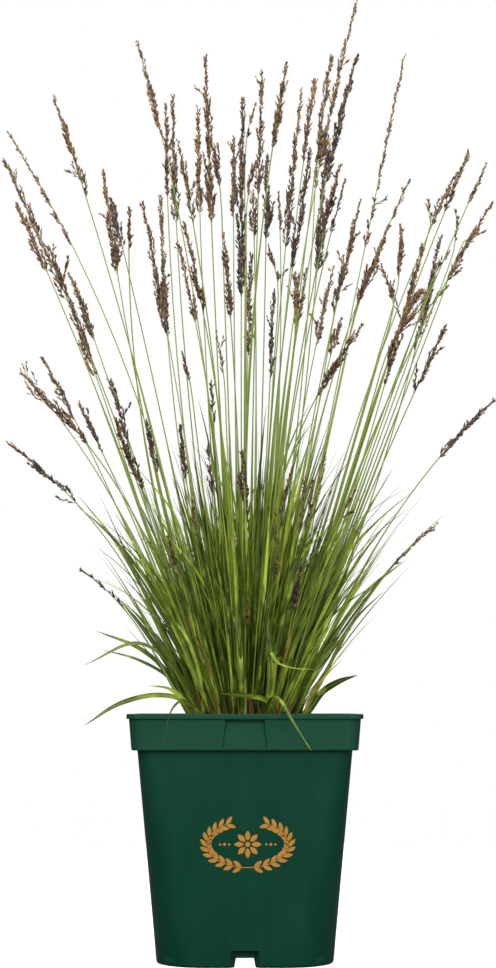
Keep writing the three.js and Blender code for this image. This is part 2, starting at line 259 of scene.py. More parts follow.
def empty_tree(name, kind, inputs, outputs):
    """A new tree, its input node and its output node."""
    tree = bpy.data.node_groups.new(name, kind)
    for title, socket, default in inputs:
        made = tree.interface.new_socket(title, in_out="INPUT", socket_type="NodeSocket" + socket)
        if default is not None:
            made.default_value = default
    for title, socket in outputs:
        tree.interface.new_socket(title, in_out="OUTPUT", socket_type="NodeSocket" + socket)
    return tree, place(tree, "NodeGroupInput"), place(tree, "NodeGroupOutput")


def tree_once(name):
    """Has a maker build its tree, under that name, only once."""
    return lambda maker: lambda: bpy.data.node_groups.get(name) or maker(name)


@tree_once("Mottle")
def mottle_group(name):
    """Patches of two sizes over a surface, as a mask and as a bump height."""
    tree, given, result = empty_tree(
        name, "ShaderNodeTree",
        (("Vector", "Vector", None), ("Scale", "Float", 60.0), ("Fine Scale", "Float", 600.0)),
        (("Mask", "Float"), ("Fine", "Float")),
    )
    where = out(given, "Vector")
    coarse = grain(tree, where, out(given, "Scale"), 3.0, Roughness=0.55)
    fine = grain(tree, where, out(given, "Fine Scale"), 2.0)
    tree.links.new(rescale(tree, coarse, 0.3, 0.7), result.inputs["Mask"])
    tree.links.new(fine, result.inputs["Fine"])
    return tree


@tree_once("Fibre")
def fibre_group(name):
    """Fine ribs that run along a blade, stem or sheath, as a mask and as a bump height."""
    tree, given, result = empty_tree(
        name, "ShaderNodeTree",
        (
            ("Across", "Float", 0.0), ("Along", "Float", 0.0), ("Tone", "Float", 0.0),
            ("Ribs", "Float", 5.0),
        ),
        (("Streak", "Float"), ("Ribs", "Float")),
    )
    across, ribs = out(given, "Across"), out(given, "Ribs")
    where = vector_of(
        tree, X=product(tree, across, ribs), Y=product(tree, out(given, "Along"), 4.0),
        Z=product(tree, out(given, "Tone"), 37.0),
    )
    streak = grain(tree, where, 1.0, 2.0, Roughness=0.6)
    wave = calculate(tree, "SINE", product(tree, across, product(tree, ribs, 3.2)))
    tree.links.new(rescale(tree, streak, 0.32, 0.68), result.inputs["Streak"])
    tree.links.new(rescale(tree, wave, -1.0, 1.0), result.inputs["Ribs"])
    return tree


def material_with(name, roughness, specular=0.5):
    """A new material: its tree, its shader and its object coordinates."""
    material = bpy.data.materials.new(name)
    material.use_nodes = True
    tree = material.node_tree
    shader = tree.nodes["Principled BSDF"]
    shader.inputs["Roughness"].default_value = roughness
    shader.inputs["Specular IOR Level"].default_value = specular
    coordinates = out(place(tree, "ShaderNodeTexCoord"), "Object")
    return material, tree, shader, coordinates


def coat(tree, shader, colour, roughness, height, strength, distance):
    """Gives the shader its colour, its roughness and a bump made from a height."""
    tree.links.new(colour, shader.inputs["Base Color"])
    tree.links.new(roughness, shader.inputs["Roughness"])
    bump = {"Height": height, "Strength": strength, "Distance": distance}
    tree.links.new(out(place(tree, "ShaderNodeBump", bump)), shader.inputs["Normal"])


def mottle(tree, where, scale, fine_scale):
    """The patches' mask and bump height on a surface."""
    node = place(
        tree, "ShaderNodeGroup", {"Vector": where, "Scale": scale, "Fine Scale": fine_scale},
        node_tree=mottle_group(),
    )
    return out(node, "Mask"), out(node, "Fine")


def fibre(tree, ribs):
    """The fibre's mask and bump height, from the values that a swept piece carries."""
    carried = {name.title(): attribute(tree, name) for name in ("across", "along", "tone")}
    node = place(tree, "ShaderNodeGroup", {**carried, "Ribs": ribs}, node_tree=fibre_group())
    return out(node, "Streak"), out(node, "Ribs")


def brightened(colour, factor):
    """A colour with its light multiplied, up to full strength."""
    return tuple(min(1.0, channel * factor) for channel in colour)


def layered(tree, colour, *layers):
    """A colour with further ones laid over it in turn, each by its share."""
    for share, above in layers:
        colour = blend_colours(tree, share, colour, above)
    return colour


def pot_plastic(settings):
    """Satin polypropylene with faint flow marks, a painted highlight that lightens the collar and
    faintly the top of the body, and dusty where it faces up.
    """
    material, tree, shader, where = material_with("pot_plastic", 0.42, 0.05)
    mask, fine = mottle(tree, where, 26, 2200)
    stretched = place(tree, "ShaderNodeMapping", {"Vector": where, "Scale": (90, 90, 9)})
    flow = rescale(tree, grain(tree, out(stretched), 1.0, 4.0), 0.35, 0.7)
    tone = calculate(tree, "MULTIPLY_ADD", mask, 0.35, product(tree, flow, 0.3))
    # Painted highlight: the collar, and more faintly the top of the body, are painted lighter where
    # light from above catches them.
    height_up = component(tree, where, "Z")
    collar = rescale(tree, height_up, (STEP_Z - 1) * MM, (STEP_Z + 1) * MM, 0.0, 0.7)
    upper = rescale(tree, height_up, 0.55 * STEP_Z * MM, STEP_Z * MM, 0.0, 0.16)
    highlit = calculate(tree, "MAXIMUM", collar, upper)
    painted_highlight = product(tree, highlit, rescale(tree, mask, 0.0, 1.0, 0.7, 1.0))
    facing = component(tree, out(place(tree, "ShaderNodeNewGeometry"), "Normal"), "Z")
    grit = rescale(tree, grain(tree, where, 420.0, 5.0), 0.42, 0.72, 0.0, 0.5)
    settled = product(tree, rescale(tree, facing, 0.6, 0.95), grit)
    colour = layered(
        tree, settings.plastic,
        (tone, settings.plastic_pale), (painted_highlight, settings.plastic_worn), (settled, settings.dust),
    )
    dull = calculate(tree, "MULTIPLY_ADD", flow, 0.1, 0.36)
    coat(
        tree, shader, colour, calculate(tree, "MULTIPLY_ADD", settled, 0.5, dull),
        calculate(tree, "MULTIPLY_ADD", fine, 0.5, flow), 0.25, 0.05 * MM,
    )
    return material


def print_ink(settings):
    """Screen-printed ink that lets a little of the plastic through."""
    material, tree, shader, where = material_with("print_ink", 0.5, 0.15)
    mask, fine = mottle(tree, where, 180, 1500)
    pinholes = rescale(tree, fine, 0.66, 0.74, 0.0, 0.8)
    colour = layered(
        tree, settings.ink, (mask, brightened(settings.ink, 0.78)), (pinholes, settings.plastic)
    )
    coat(tree, shader, colour, rescale(tree, mask, 0.0, 1.0, 0.42, 0.6), fine, 0.3, 0.03 * MM)
    return material


def peat(settings):
    """Moist peat: dark, matt and crumbly, with paler fibres."""
    material, tree, shader, where = material_with("peat", 0.92, 0.25)
    mask, fine = mottle(tree, where, 240, 1300)
    stretched = place(tree, "ShaderNodeMapping", {"Vector": where, "Scale": (900, 160, 400)})
    strands = rescale(tree, grain(tree, out(stretched), 1.0, 3.0), 0.62, 0.72)
    colour = layered(
        tree, brightened(settings.peat, 0.45),
        (mask, settings.peat), (strands, brightened(settings.peat, 3.2)),
    )
    coat(
        tree, shader, colour, rescale(tree, fine, 0.3, 0.7, 0.78, 1.0),
        calculate(tree, "ADD", fine, mask), 0.9, 0.6 * MM,
    )
    return material


def leaf_green(settings):
    """Leaf blades: each has its own green, patches of painted light and shade, a pale midrib, a base
    darkened by painted shade mixed with its own reddish and green tones, and a dry tip.
    """
    material, tree, shader, where = material_with("leaf_green", 0.48, 0.4)
    streak, ribs = fibre(tree, 5.0)
    tone, along, across = (attribute(tree, name) for name in ("tone", "along", "across"))
    green = ramp(
        tree, tone,
        (0.0, settings.leaf_dark), (0.28, srgb(66, 96, 22)), (0.55, settings.leaf),
        (0.8, settings.leaf_bright), (0.93, srgb(176, 194, 66)), (0.965, srgb(186, 146, 66)),
        (1.0, srgb(150, 62, 42)),
    )
    # Painted shade at the foot: near-black and dark olive stops darken the lowest quarter of each blade
    # where the blades crowd, mixed with some green and reddish bases of the blades' own.
    base = ramp(
        tree, calculate(tree, "FRACT", product(tree, tone, 7.0)),
        (0.0, srgb(24, 22, 8)), (0.4, srgb(58, 70, 18)), (0.75, srgb(112, 122, 42)),
        (1.0, srgb(80, 44, 32)),
    )
    # Painted light and shade: noisy patches along each blade are painted darker or lighter, as
    # stretches lie in shade or catch the light.
    painted_light_patches = grain(tree, where, 60.0, 3.0, W=product(tree, tone, 30.0))
    midrib = rescale(tree, calculate(tree, "ABSOLUTE", across), 0.0, 0.28, 0.3, 0.0)
    dry = product(tree, rescale(tree, along, 0.93, 1.0), rescale(tree, streak, 0.0, 1.0, 0.3, 0.9))
    colour = layered(
        tree, green,
        (product(tree, streak, 0.35), settings.leaf_dark),
        (rescale(tree, painted_light_patches, 0.34, 0.52, 0.75, 0.0), settings.leaf_dark),
        (rescale(tree, painted_light_patches, 0.53, 0.7, 0.0, 0.62), settings.leaf_bright),
        (midrib, settings.leaf_bright),
        (rescale(tree, along, 0.0, 0.24, 0.9, 0.0), base),
        (dry, srgb(150, 132, 72)),
    )
    coat(tree, shader, colour, rescale(tree, streak, 0.0, 1.0, 0.4, 0.62), ribs, 0.35, 0.06 * MM)
    return material


def culm_green(settings):
    """Flowering stems: straw at the foot, yellow-green above, brown among the spikelets."""
    material, tree, shader, _ = material_with("culm_green", 0.45, 0.45)
    streak, ribs = fibre(tree, 4.0)
    deep = brightened(settings.culm, 0.62)
    green = ramp(
        tree, attribute(tree, "along"),
        (0.0, settings.sheath), (0.07, deep), (0.3, settings.culm),
        (0.78, brightened(settings.culm, 1.35)), (0.84, srgb(150, 136, 82)),
        (1.0, srgb(140, 108, 66)),
    )
    shaded = product(tree, attribute(tree, "tone"), 0.4)
    colour = layered(tree, green, (shaded, deep), (product(tree, streak, 0.3), deep))
    coat(tree, shader, colour, rescale(tree, streak, 0.0, 1.0, 0.36, 0.56), ribs, 0.3, 0.05 * MM)
    return material


def spikelet_scales(settings):
    """Spikelets from tan through brown to purple, or green, darker at the foot of each scale."""
    material, tree, shader, where = material_with("spikelet_scales", 0.62, 0.3)
    speck = grain(tree, where, 900.0, 2.0)
    tone, shade, lobe = (attribute(tree, name) for name in ("tone", "shade", "lobe"))
    ripe = ramp(
        tree, calculate(tree, "ADD", product(tree, tone, 0.66), product(tree, shade, 0.34)),
        (0.0, srgb(182, 152, 108)), (0.22, srgb(158, 120, 80)), (0.42, srgb(130, 92, 64)),
        (0.62, srgb(98, 74, 62)), (0.8, srgb(82, 68, 72)), (1.0, srgb(70, 60, 74)),
    )
    fresh = ramp(
        tree, shade, (0.0, srgb(58, 60, 24)), (0.5, srgb(118, 116, 48)), (1.0, srgb(186, 168, 92))
    )
    light = calculate(tree, "FRACT", product(tree, shade, 9.7))
    pale = blend_colours(tree, tone, srgb(214, 186, 136), srgb(150, 128, 128))
    colour = layered(
        tree, ripe,
        (rescale(tree, tone, FRESH, 0.0, 1.0, 0.0), fresh),
        (rescale(tree, light, 0.0, 0.55, 0.85, 0.0), srgb(48, 36, 34)),
        (rescale(tree, light, 0.75, 1.0, 0.0, 0.5), srgb(198, 172, 128)),
        (rescale(tree, lobe, 0.0, 0.55, 0.85, 0.0), srgb(46, 34, 32)),
        (product(tree, rescale(tree, lobe, 0.65, 1.0), 0.5), pale),
        (rescale(tree, speck, 0.55, 0.75, 0.0, 0.5), srgb(80, 54, 46)),
    )
    coat(tree, shader, colour, rescale(tree, lobe, 0.0, 1.0, 0.7, 0.5), speck, 0.5, 0.1 * MM)
    return material


def old_sheath(settings):
    """Old sheaths at the foot of the tussock: dark, dull green, straw and reddish."""
    material, tree, shader, where = material_with("old_sheath", 0.7, 0.3)
    mask, fine = mottle(tree, where, 320, 1800)
    dark = brightened(settings.sheath, 0.3)
    colour = ramp(
        tree, attribute(tree, "shade"),
        (0.0, dark), (0.25, srgb(48, 46, 18)), (0.5, srgb(84, 98, 32)),
        (0.72, srgb(108, 118, 44)), (0.9, settings.sheath), (1.0, srgb(116, 62, 44)),
    )
    worn = blend_colours(tree, product(tree, mask, 0.5), colour, dark)
    coat(tree, shader, worn, rescale(tree, fine, 0.3, 0.7, 0.6, 0.85), fine, 0.6, 0.2 * MM)
    return material


def studio_floor(settings):
    """Pale painted floor with the faintest cloudiness. The camera sees it brighter than it
    lights the pot."""
    material, tree, shader, where = material_with("studio_floor", 0.85, 0.2)
    mask, fine = mottle(tree, where, 3, 90)
    paint = blend_colours(tree, mask, settings.floor, brightened(settings.floor, 0.985))
    seen = out(place(tree, "ShaderNodeLightPath"), "Is Camera Ray")
    bounced = brightened(settings.floor, settings.floor_bounce)
    glow = blend_colours(tree, product(tree, seen, settings.floor_glow), (0, 0, 0), paint)
    shader.inputs["Emission Strength"].default_value = 1
    tree.links.new(blend_colours(tree, seen, bounced, paint), shader.inputs["Base Color"])
    tree.links.new(glow, shader.inputs["Emission Color"])
    tree.links.new(rescale(tree, fine, 0.3, 0.7, 0.8, 0.9), shader.inputs["Roughness"])
    return material


def material_once(maker, settings):
    """The material that a maker function builds, built only once."""
    return bpy.data.materials.get(maker.__name__) or maker(settings)


def merged(mesh):
    """A mesh's distinct points, and its triangles between them."""
    points = np.empty(len(mesh.vertices) * 3, np.float32)
    mesh.vertices.foreach_get("co", points)
    corners = np.empty(len(mesh.loops), np.int32)
    mesh.loops.foreach_get("vertex_index", corners)
    grid = np.round(points.reshape(-1, 3) / (0.001 * MM)).astype(np.int64)
    _, first, index = np.unique(grid, axis=0, return_index=True, return_inverse=True)
    return points.reshape(-1, 3)[first].astype(float), index.ravel()[corners].reshape(-1, 3)


def sections(node, sides):
    """A frame tube's sections from its foot to its tip: their centres and their radii."""
    points, triangles = merged(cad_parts[node].data)
    neighbours = [set() for _ in points]
    for triangle in triangles.tolist():
        for corner in triangle:
            neighbours[corner].update(triangle)
    gaps = np.linalg.norm(points - np.array((0, 0, CROWN_HIGH.z)), axis=1)
    ring = set(np.argsort(gaps)[:sides].tolist())
    left = set(range(len(points)))
    centres, radii = [], []
    while ring:
        spots = points[sorted(ring)]
        centres.append(spots.mean(axis=0))
        radii.append(np.linalg.norm(spots - centres[-1], axis=1).mean())
        left -= ring
        ring = set().union(*(neighbours[i] for i in ring)) & left
    return np.array(centres), np.array(radii)


def stations(points):
    """The lengths of a line's steps, and each point's distance along it."""
    steps = np.linalg.norm(np.diff(points, axis=0), axis=1)
    return steps, np.concatenate([[0], np.cumsum(steps)])


def smooth(points, count):
    """Evenly spaced points on a smooth line through the given ones."""
    points = np.asarray(points, float)
    steps, at = stations(points)
    slopes = np.gradient(points, at, axis=0)
    wanted = np.linspace(0, at[-1], count)
    i = np.clip(np.searchsorted(at, wanted, side="right") - 1, 0, len(steps) - 1)
    h = steps[i][:, None]
    u = ((wanted - at[i]) / steps[i])[:, None]
    return (
        (2 * u**3 - 3 * u**2 + 1) * points[i]
        + (u**3 - 2 * u**2 + u) * h * slopes[i]
        + (3 * u**2 - 2 * u**3) * points[i + 1]
        + (u**3 - u**2) * h * slopes[i + 1]
    )


def length_of(points):
    return float(stations(points)[0].sum())


def unit(vector):
    vector = np.asarray(vector, float)
    return vector / max(np.linalg.norm(vector), 1e-9)


def width_directions(points, first, turns):
    """The width direction at each point of a blade, carried along without twist, then turned."""
    tangents = np.gradient(points, axis=0)
    tangents /= np.linalg.norm(tangents, axis=1)[:, None]
    side = np.asarray(first, float)
    found = []
    for tangent, turn in zip(tangents, turns):
        side = unit(side - tangent * (side @ tangent))
        found.append(math.cos(turn) * side + math.sin(turn) * np.cross(tangent, side))
    return np.array(found)


class Strands:
    """Open lines to sweep or to hang pieces on, with named values at every point."""

    def __init__(self):
        self.points = []
        self.edges = []
        self.values = {}
        self.count = 0

    def add(self, points, **values):
        points = np.asarray(points, np.float32)
        size = len(points)
        start = np.arange(self.count, self.count + size - 1)
        self.points.append(points)
        self.edges.append(np.stack([start, start + 1], axis=1))
        for name, value in values.items():
            value = np.asarray(value, np.float32)
            shape = (size, 3) if value.ndim and value.shape[-1] == 3 and value.ndim == 2 else (size,)
            self.values.setdefault(name, []).append(np.broadcast_to(value, shape))
        self.count += size

    def source(self, name):
        """An object that holds the lines, for a tree to grow on."""
        mesh = bpy.data.meshes.new(name)
        points = np.concatenate(self.points)
        edges = np.concatenate(self.edges)
        mesh.vertices.add(len(points))
        mesh.vertices.foreach_set("co", points.ravel())
        mesh.edges.add(len(edges))
        mesh.edges.foreach_set("vertices", edges.astype(np.int32).ravel())
        for title, rows in self.values.items():
            data = np.concatenate(rows)
            if data.ndim == 2:
                layer = mesh.attributes.new(title, "FLOAT_VECTOR", "POINT")
                layer.data.foreach_set("vector", data.ravel())
            else:
                layer = mesh.attributes.new(title, "FLOAT", "POINT")
                layer.data.foreach_set("value", data)
        mesh.update()
        return bpy.data.objects.new(name, mesh)


def geometry_tree(name, inputs):
    """An empty geometry tree: the tree, its input node and its output node."""
    through = ("Geometry", "Geometry")
    return empty_tree(name, "GeometryNodeTree", ((*through, None), *inputs), (through,))


def dressed(tree, geometry, material):
    """Geometry with its material set."""
    inputs = {"Geometry": geometry, "Material": material}
    return out(place(tree, "GeometryNodeSetMaterial", inputs))


def sweep(tree, lines, profile):
    """Sweeps a profile along lines, as large as their "size", with its own x as "across"."""
    across = component(tree, out(place(tree, "GeometryNodeInputPosition")), "X")
    marked = place(
        tree, "GeometryNodeStoreNamedAttribute",
        {"Geometry": out(profile), "Name": "across", "Value": across},
    )
    swept = place(
        tree, "GeometryNodeCurveToMesh",
        {
            "Curve": out(lines), "Profile Curve": out(marked),
            "Scale": named_value(tree, "size"), "Fill Caps": True,
        },
    )
    return out(swept)


def random_between(tree, given, low, high, offset=0.0, kind="FLOAT"):
    """A random value at each point between two limits, from the tree's seed and an offset."""
    seed = calculate(tree, "ADD", out(given, "Seed"), offset)
    inputs = {"Min": low, "Max": high, "Seed": seed}
    return out(place(tree, "FunctionNodeRandomValue", inputs, data_type=kind), "Value")


def copies(tree, given, shape, spots, rotation, turn, **inputs):
    """Sets copies of an object on points, turned in their own frame, each with its own "shade"."""
    turned = place(tree, "FunctionNodeEulerToRotation", {"Euler": turn})
    aimed = place(
        tree, "FunctionNodeRotateRotation", {"Rotation": rotation, "Rotate By": out(turned)},
        rotation_space="LOCAL",
    )
    source = place(tree, "GeometryNodeObjectInfo", {"Object": out(given, shape)})
    inputs.update(Points=out(spots, "Points"), Instance=out(source, "Geometry"), Rotation=out(aimed))
    tinted = place(
        tree, "GeometryNodeStoreNamedAttribute",
        {
            "Geometry": out(place(tree, "GeometryNodeInstanceOnPoints", inputs)), "Name": "shade",
            "Value": random_between(tree, given, 0.0, 1.0, 3.0),
        },
        domain="INSTANCE",
    )
    return out(place(tree, "GeometryNodeRealizeInstances", {"Geometry": out(tinted)}))


@tree_once("Swept Blades")
def blade_tree(name):
    """Sweeps a shallow V along each line: a leaf blade, closed all round."""
    tree, given, result = geometry_tree(
        name, (("Thickness", "Float", 0.12), ("Fold", "Float", 0.3), ("Material", "Material", None))
    )
    lines = place(tree, "GeometryNodeMeshToCurve", {"Mesh": out(given, "Geometry")})
    guided = place(
        tree, "GeometryNodeSetCurveNormal",
        {"Curve": out(lines), "Normal": named_value(tree, "side", "FLOAT_VECTOR")}, mode="FREE",
    )
    fold, half = out(given, "Fold"), out(given, "Thickness")
    below = product(tree, half, -1.0)
    profile = place(tree, "GeometryNodeCurvePrimitiveQuadrilateral", mode="POINTS")
    corners = ({"X": -1.0, "Y": fold}, {"Y": below}, {"X": 1.0, "Y": fold}, {"Y": half})
    for i, corner in enumerate(corners):
        tree.links.new(vector_of(tree, **corner), profile.inputs[f"Point {i + 1}"])
    swept = place(tree, "GeometryNodeRealizeInstances", {"Geometry": sweep(tree, guided, profile)})
    tree.links.new(dressed(tree, out(swept), out(given, "Material")), result.inputs["Geometry"])
    return tree


@tree_once("Stem With Spikelets")
def panicle_tree(name):
    """Sweeps a stem and its twigs, and hangs spikelets where the lines bear them."""
    tree, given, result = geometry_tree(
        name,
        (
            ("Spikelet", "Object", None), ("Spacing", "Float", 0.0026), ("Length", "Float", 0.005),
            ("Spread", "Float", 0.4), ("Seed", "Int", 0), ("Sides", "Int", 5),
            ("Stem Material", "Material", None), ("Spikelet Material", "Material", None),
        ),
    )
    lines = place(tree, "GeometryNodeMeshToCurve", {"Mesh": out(given, "Geometry")})
    ring = place(
        tree, "GeometryNodeCurvePrimitiveCircle", {"Resolution": out(given, "Sides"), "Radius": 1.0}
    )
    spots = place(
        tree, "GeometryNodeCurveToPoints", {"Curve": out(lines), "Length": out(given, "Spacing")},
        mode="LENGTH",
    )
    bearing = place(tree, "FunctionNodeCompare", {"A": named_value(tree, "bears"), "B": 0.5})
    spin = random_between(tree, given, 0.0, 2 * math.pi)
    lean = random_between(tree, given, 0.06, out(given, "Spread"), 1.0)
    growth = random_between(tree, given, 0.72, 1.25, 2.0)
    vigour = product(tree, growth, named_value(tree, "vigour"))
    hung = copies(
        tree, given, "Spikelet", spots, out(spots, "Rotation"), vector_of(tree, X=lean, Z=spin),
        Selection=out(bearing, "Result"), Scale=product(tree, vigour, out(given, "Length")),
    )
    joined = place(tree, "GeometryNodeJoinGeometry")
    stems = dressed(tree, sweep(tree, lines, ring), out(given, "Stem Material"))
    tree.links.new(stems, joined.inputs[0])
    tree.links.new(dressed(tree, hung, out(given, "Spikelet Material")), joined.inputs[0])
    tree.links.new(out(joined), result.inputs["Geometry"])
    return tree


@tree_once("Scattered Pieces")
def scatter_tree(name):
    """Sets copies of a small piece on a surface, tumbled, and leaning away from the axis."""
    tree, given, result = geometry_tree(
        name,
        (
            ("Piece", "Object", None), ("Density", "Float", 1000.0), ("Seed", "Int", 0),
            ("Smallest", "Float", 0.001), ("Largest", "Float", 0.004), ("Outward", "Float", 0.0),
            ("Tumble", "Float", 0.3), ("Material", "Material", None),
        ),
    )
    spots = place(
        tree, "GeometryNodeDistributePointsOnFaces",
        {
            "Mesh": out(given, "Geometry"), "Density": out(given, "Density"),
            "Seed": out(given, "Seed"),
        },
    )
    where = out(place(tree, "GeometryNodeInputPosition"))
    outward, tumble = out(given, "Outward"), out(given, "Tumble")
    away = {axis: product(tree, component(tree, where, axis), outward) for axis in "XY"}
    upright = place(
        tree, "FunctionNodeAlignRotationToVector", {"Vector": vector_of(tree, **away, Z=1.0)},
        axis="Z",
    )
    back = product(tree, tumble, -1.0)
    turn = random_between(
        tree, given, vector_of(tree, X=back, Y=back, Z=-math.pi),
        vector_of(tree, X=tumble, Y=tumble, Z=math.pi), 1.0, "FLOAT_VECTOR",
    )
    growth = random_between(tree, given, out(given, "Smallest"), out(given, "Largest"), 2.0)
    set_down = copies(tree, given, "Piece", spots, out(upright), turn, Scale=growth)
    tree.links.new(dressed(tree, set_down, out(given, "Material")), result.inputs["Geometry"])
    return tree


def grow(source, tree, values, name):
    """Runs a tree on a source object, and returns its result as a piece with a plain mesh."""
    scene = bpy.context.scene
    scene.collection.objects.link(source)
    modifier = source.modifiers.new(tree.name, "NODES")
    modifier.node_group = tree
    for item in tree.interface.items_tree:
        if item.in_out == "INPUT" and item.name in values:
            modifier[item.identifier] = values[item.name]
    graph = bpy.context.evaluated_depsgraph_get()
    mesh = bpy.data.meshes.new_from_object(source.evaluated_get(graph), depsgraph=graph)
    source.modifiers.remove(modifier)
    bpy.data.objects.remove(source)
    mesh.name = name
    piece = bpy.data.objects.new(name, mesh)
    scene.collection.objects.link(piece)
    return piece


def point_outwards(mesh):
    """Turns every closed shell's faces outwards."""
    edit = bmesh.new()
    edit.from_mesh(mesh)
    bmesh.ops.recalc_face_normals(edit, faces=edit.faces)
    edit.to_mesh(mesh)
    edit.free()


def soften(mesh, sharp_degrees):
    """Smooth shading with sharp edges where faces meet at more than that angle."""
    mesh.polygons.foreach_set("use_smooth", np.ones(len(mesh.polygons), bool))
    mesh.set_sharp_from_angle(angle=math.radians(sharp_degrees))


def hand_over(piece, slot, *nodes):
    """Fixes a finished piece to the frame."""
    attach(piece, BODY)
    if nodes:
        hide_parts(*nodes)


def object_of(name, edit):
    """An object from an edited mesh, not yet in the scene."""
    mesh = bpy.data.meshes.new(name)
    edit.to_mesh(mesh)
    edit.free()
    return bpy.data.objects.new(name, mesh)


def new_piece(name, edit, material=None):
    """A piece from an edited mesh, in the scene."""
    piece = object_of(name, edit)
    bpy.context.scene.collection.objects.link(piece)
    if material:
        piece.data.materials.append(material)
    return piece


# Pot, in millimetres: half widths and heights of its wall's section, and the radii of its
# corners in plan, which grow from the rim down to the foot.
BASE_HALF = 64.85
BASE_EDGE = 2.5
STEP_Z = 154
BODY_TOP_HALF = 77.4
COLLAR_BOTTOM_HALF = 81.5
COLLAR_TOP_HALF = 83.3
LIP_HALF = POT_HIGH.x / MM
LIP_UNDER = 176.5
POT_HEIGHT = POT_HIGH.z / MM
WALL = 1.3
FLOOR_Z = 6.5
FLOOR_TOP = 8
SKIRT_FOOT = 4.4
RIM_CORNER = 11
FOOT_CORNER = 37
CORNER_STEPS = 14
SIDE_STEPS = 6
WALL_STATIONS = (30, 60, 90, 120)
PANEL = {"low": 156.2, "high": 175.7, "low_width": 32.4, "high_width": 28.1, "depth": 1.8}
NOTCH = {"low": 0, "high": 12.3, "low_width": 25.5, "high_width": 21.9, "depth": 5}
NOTCH_MARGIN = 1
NOTCH_WALL_SHARE = 0.72
NOTCH_WALL_INSET = 3.5
EMBED = 0.4
MOUTH = {"low": 0, "high": 6.5, "low_width": 15.4, "high_width": 12.5, "depth": 11}
DRAIN_HOLES = 8
DRAIN_RADIUS = 4.5
DRAIN_CIRCLE = 40
OUTSIDE = 2
BELOW = -1
BEVEL_DEGREES = 38


def body_half(z):
    return BASE_HALF + (BODY_TOP_HALF - BASE_HALF) * (z - BASE_EDGE) / (STEP_Z - BASE_EDGE)


def body_corner(z):
    return FOOT_CORNER + (RIM_CORNER - FOOT_CORNER) * z / STEP_Z


def collar_half(z):
    share = (z - STEP_Z) / (LIP_UNDER - STEP_Z)
    return COLLAR_BOTTOM_HALF + (COLLAR_TOP_HALF - COLLAR_BOTTOM_HALF) * share


def rounded(corner, before, after, radius, steps=4):
    """Points that round a section's corner between its two neighbours."""
    corner, before, after = (Vector(p) for p in (corner, before, after))
    start = corner + (before - corner).normalized() * radius
    end = corner + (after - corner).normalized() * radius
    found = []
    for i in range(steps + 1):
        t = i / steps
        point = (1 - t) ** 2 * start + 2 * t * (1 - t) * corner + t**2 * end
        found.append(tuple(point))
    return found


def pot_section():
    """The wall's section: from the floor's middle, up inside, over the lip, down outside.
    Each point is a half width, a height and the corner's radius in plan."""
    inner_corner = RIM_CORNER - WALL
    shelf_z = STEP_Z + WALL
    foot_half = body_half(0) - SKIRT_FOOT
    corners = [
        ((0, FLOOR_TOP, 0), 0),
        ((body_half(FLOOR_TOP) - WALL, FLOOR_TOP, body_corner(FLOOR_TOP) - WALL), 2.0),
        *(((body_half(z) - WALL, z, body_corner(z) - WALL), 0) for z in WALL_STATIONS),
        ((body_half(shelf_z) - WALL, shelf_z, inner_corner), 1.2),
        ((collar_half(shelf_z) - WALL, shelf_z, inner_corner), 0.8),
        ((collar_half(POT_HEIGHT) - WALL, POT_HEIGHT, inner_corner), 0.5),
        ((LIP_HALF, POT_HEIGHT, RIM_CORNER), 0.7),
        ((LIP_HALF, LIP_UNDER, RIM_CORNER), 0.45),
        ((COLLAR_TOP_HALF, LIP_UNDER, RIM_CORNER), 0.35),
        ((COLLAR_BOTTOM_HALF, STEP_Z, RIM_CORNER), 1.3),
        ((BODY_TOP_HALF, STEP_Z, RIM_CORNER), 0.4),
        *(((body_half(z), z, body_corner(z)), 0) for z in reversed(WALL_STATIONS)),
        ((BASE_HALF - 0.2, 0, FOOT_CORNER), 2.4),
        ((foot_half, 0, FOOT_CORNER - SKIRT_FOOT), 0.3),
        ((body_half(FLOOR_Z) - WALL, FLOOR_Z, body_corner(FLOOR_Z) - WALL), 0.6),
        ((0, FLOOR_Z, 0), 0),
    ]
    points = []
    for i, (corner, radius) in enumerate(corners):
        if radius:
            points += rounded(corner, corners[i - 1][0], corners[i + 1][0], radius)
        else:
            points.append(corner)
    return points


def square_ring(half, radius):
    """Plan points of a square with rounded corners, counter-clockwise."""
    straight = half - radius
    points = []
    for quarter in range(4):
        base = quarter * math.pi / 2
        centre = Matrix.Rotation(base, 2) @ Vector((straight, straight))
        for step in range(CORNER_STEPS + 1):
            angle = base + step / CORNER_STEPS * math.pi / 2
            points.append(centre + radius * Vector((math.cos(angle), math.sin(angle))))
        nearby = Matrix.Rotation(base + math.pi / 2, 2) @ Vector((straight, straight))
        first = points[-1]
        last = nearby + Matrix.Rotation(base + math.pi / 2, 2) @ Vector((radius, 0))
        for step in range(1, SIDE_STEPS):
            points.append(first.lerp(last, step / SIDE_STEPS))
    return points


def lofted_pot():
    """The pot's body as one closed surface, without its recesses and holes."""
    edit = bmesh.new()
    rings = []
    for half, z, radius in pot_section():
        plan = square_ring(half, radius) if half else [Vector((0, 0))]
        rings.append([edit.verts.new((p.x * MM, p.y * MM, z * MM)) for p in plan])
    for lower, upper in zip(rings, rings[1:]):
        count = max(len(lower), len(upper))
        for i in range(count):
            j = (i + 1) % count
            if len(lower) == 1:
                edit.faces.new((lower[0], upper[i], upper[j]))
            elif len(upper) == 1:
                edit.faces.new((lower[j], lower[i], upper[0]))
            else:
                edit.faces.new((lower[i], upper[i], upper[j], lower[j]))
    bmesh.ops.recalc_face_normals(edit, faces=edit.faces)
    return edit


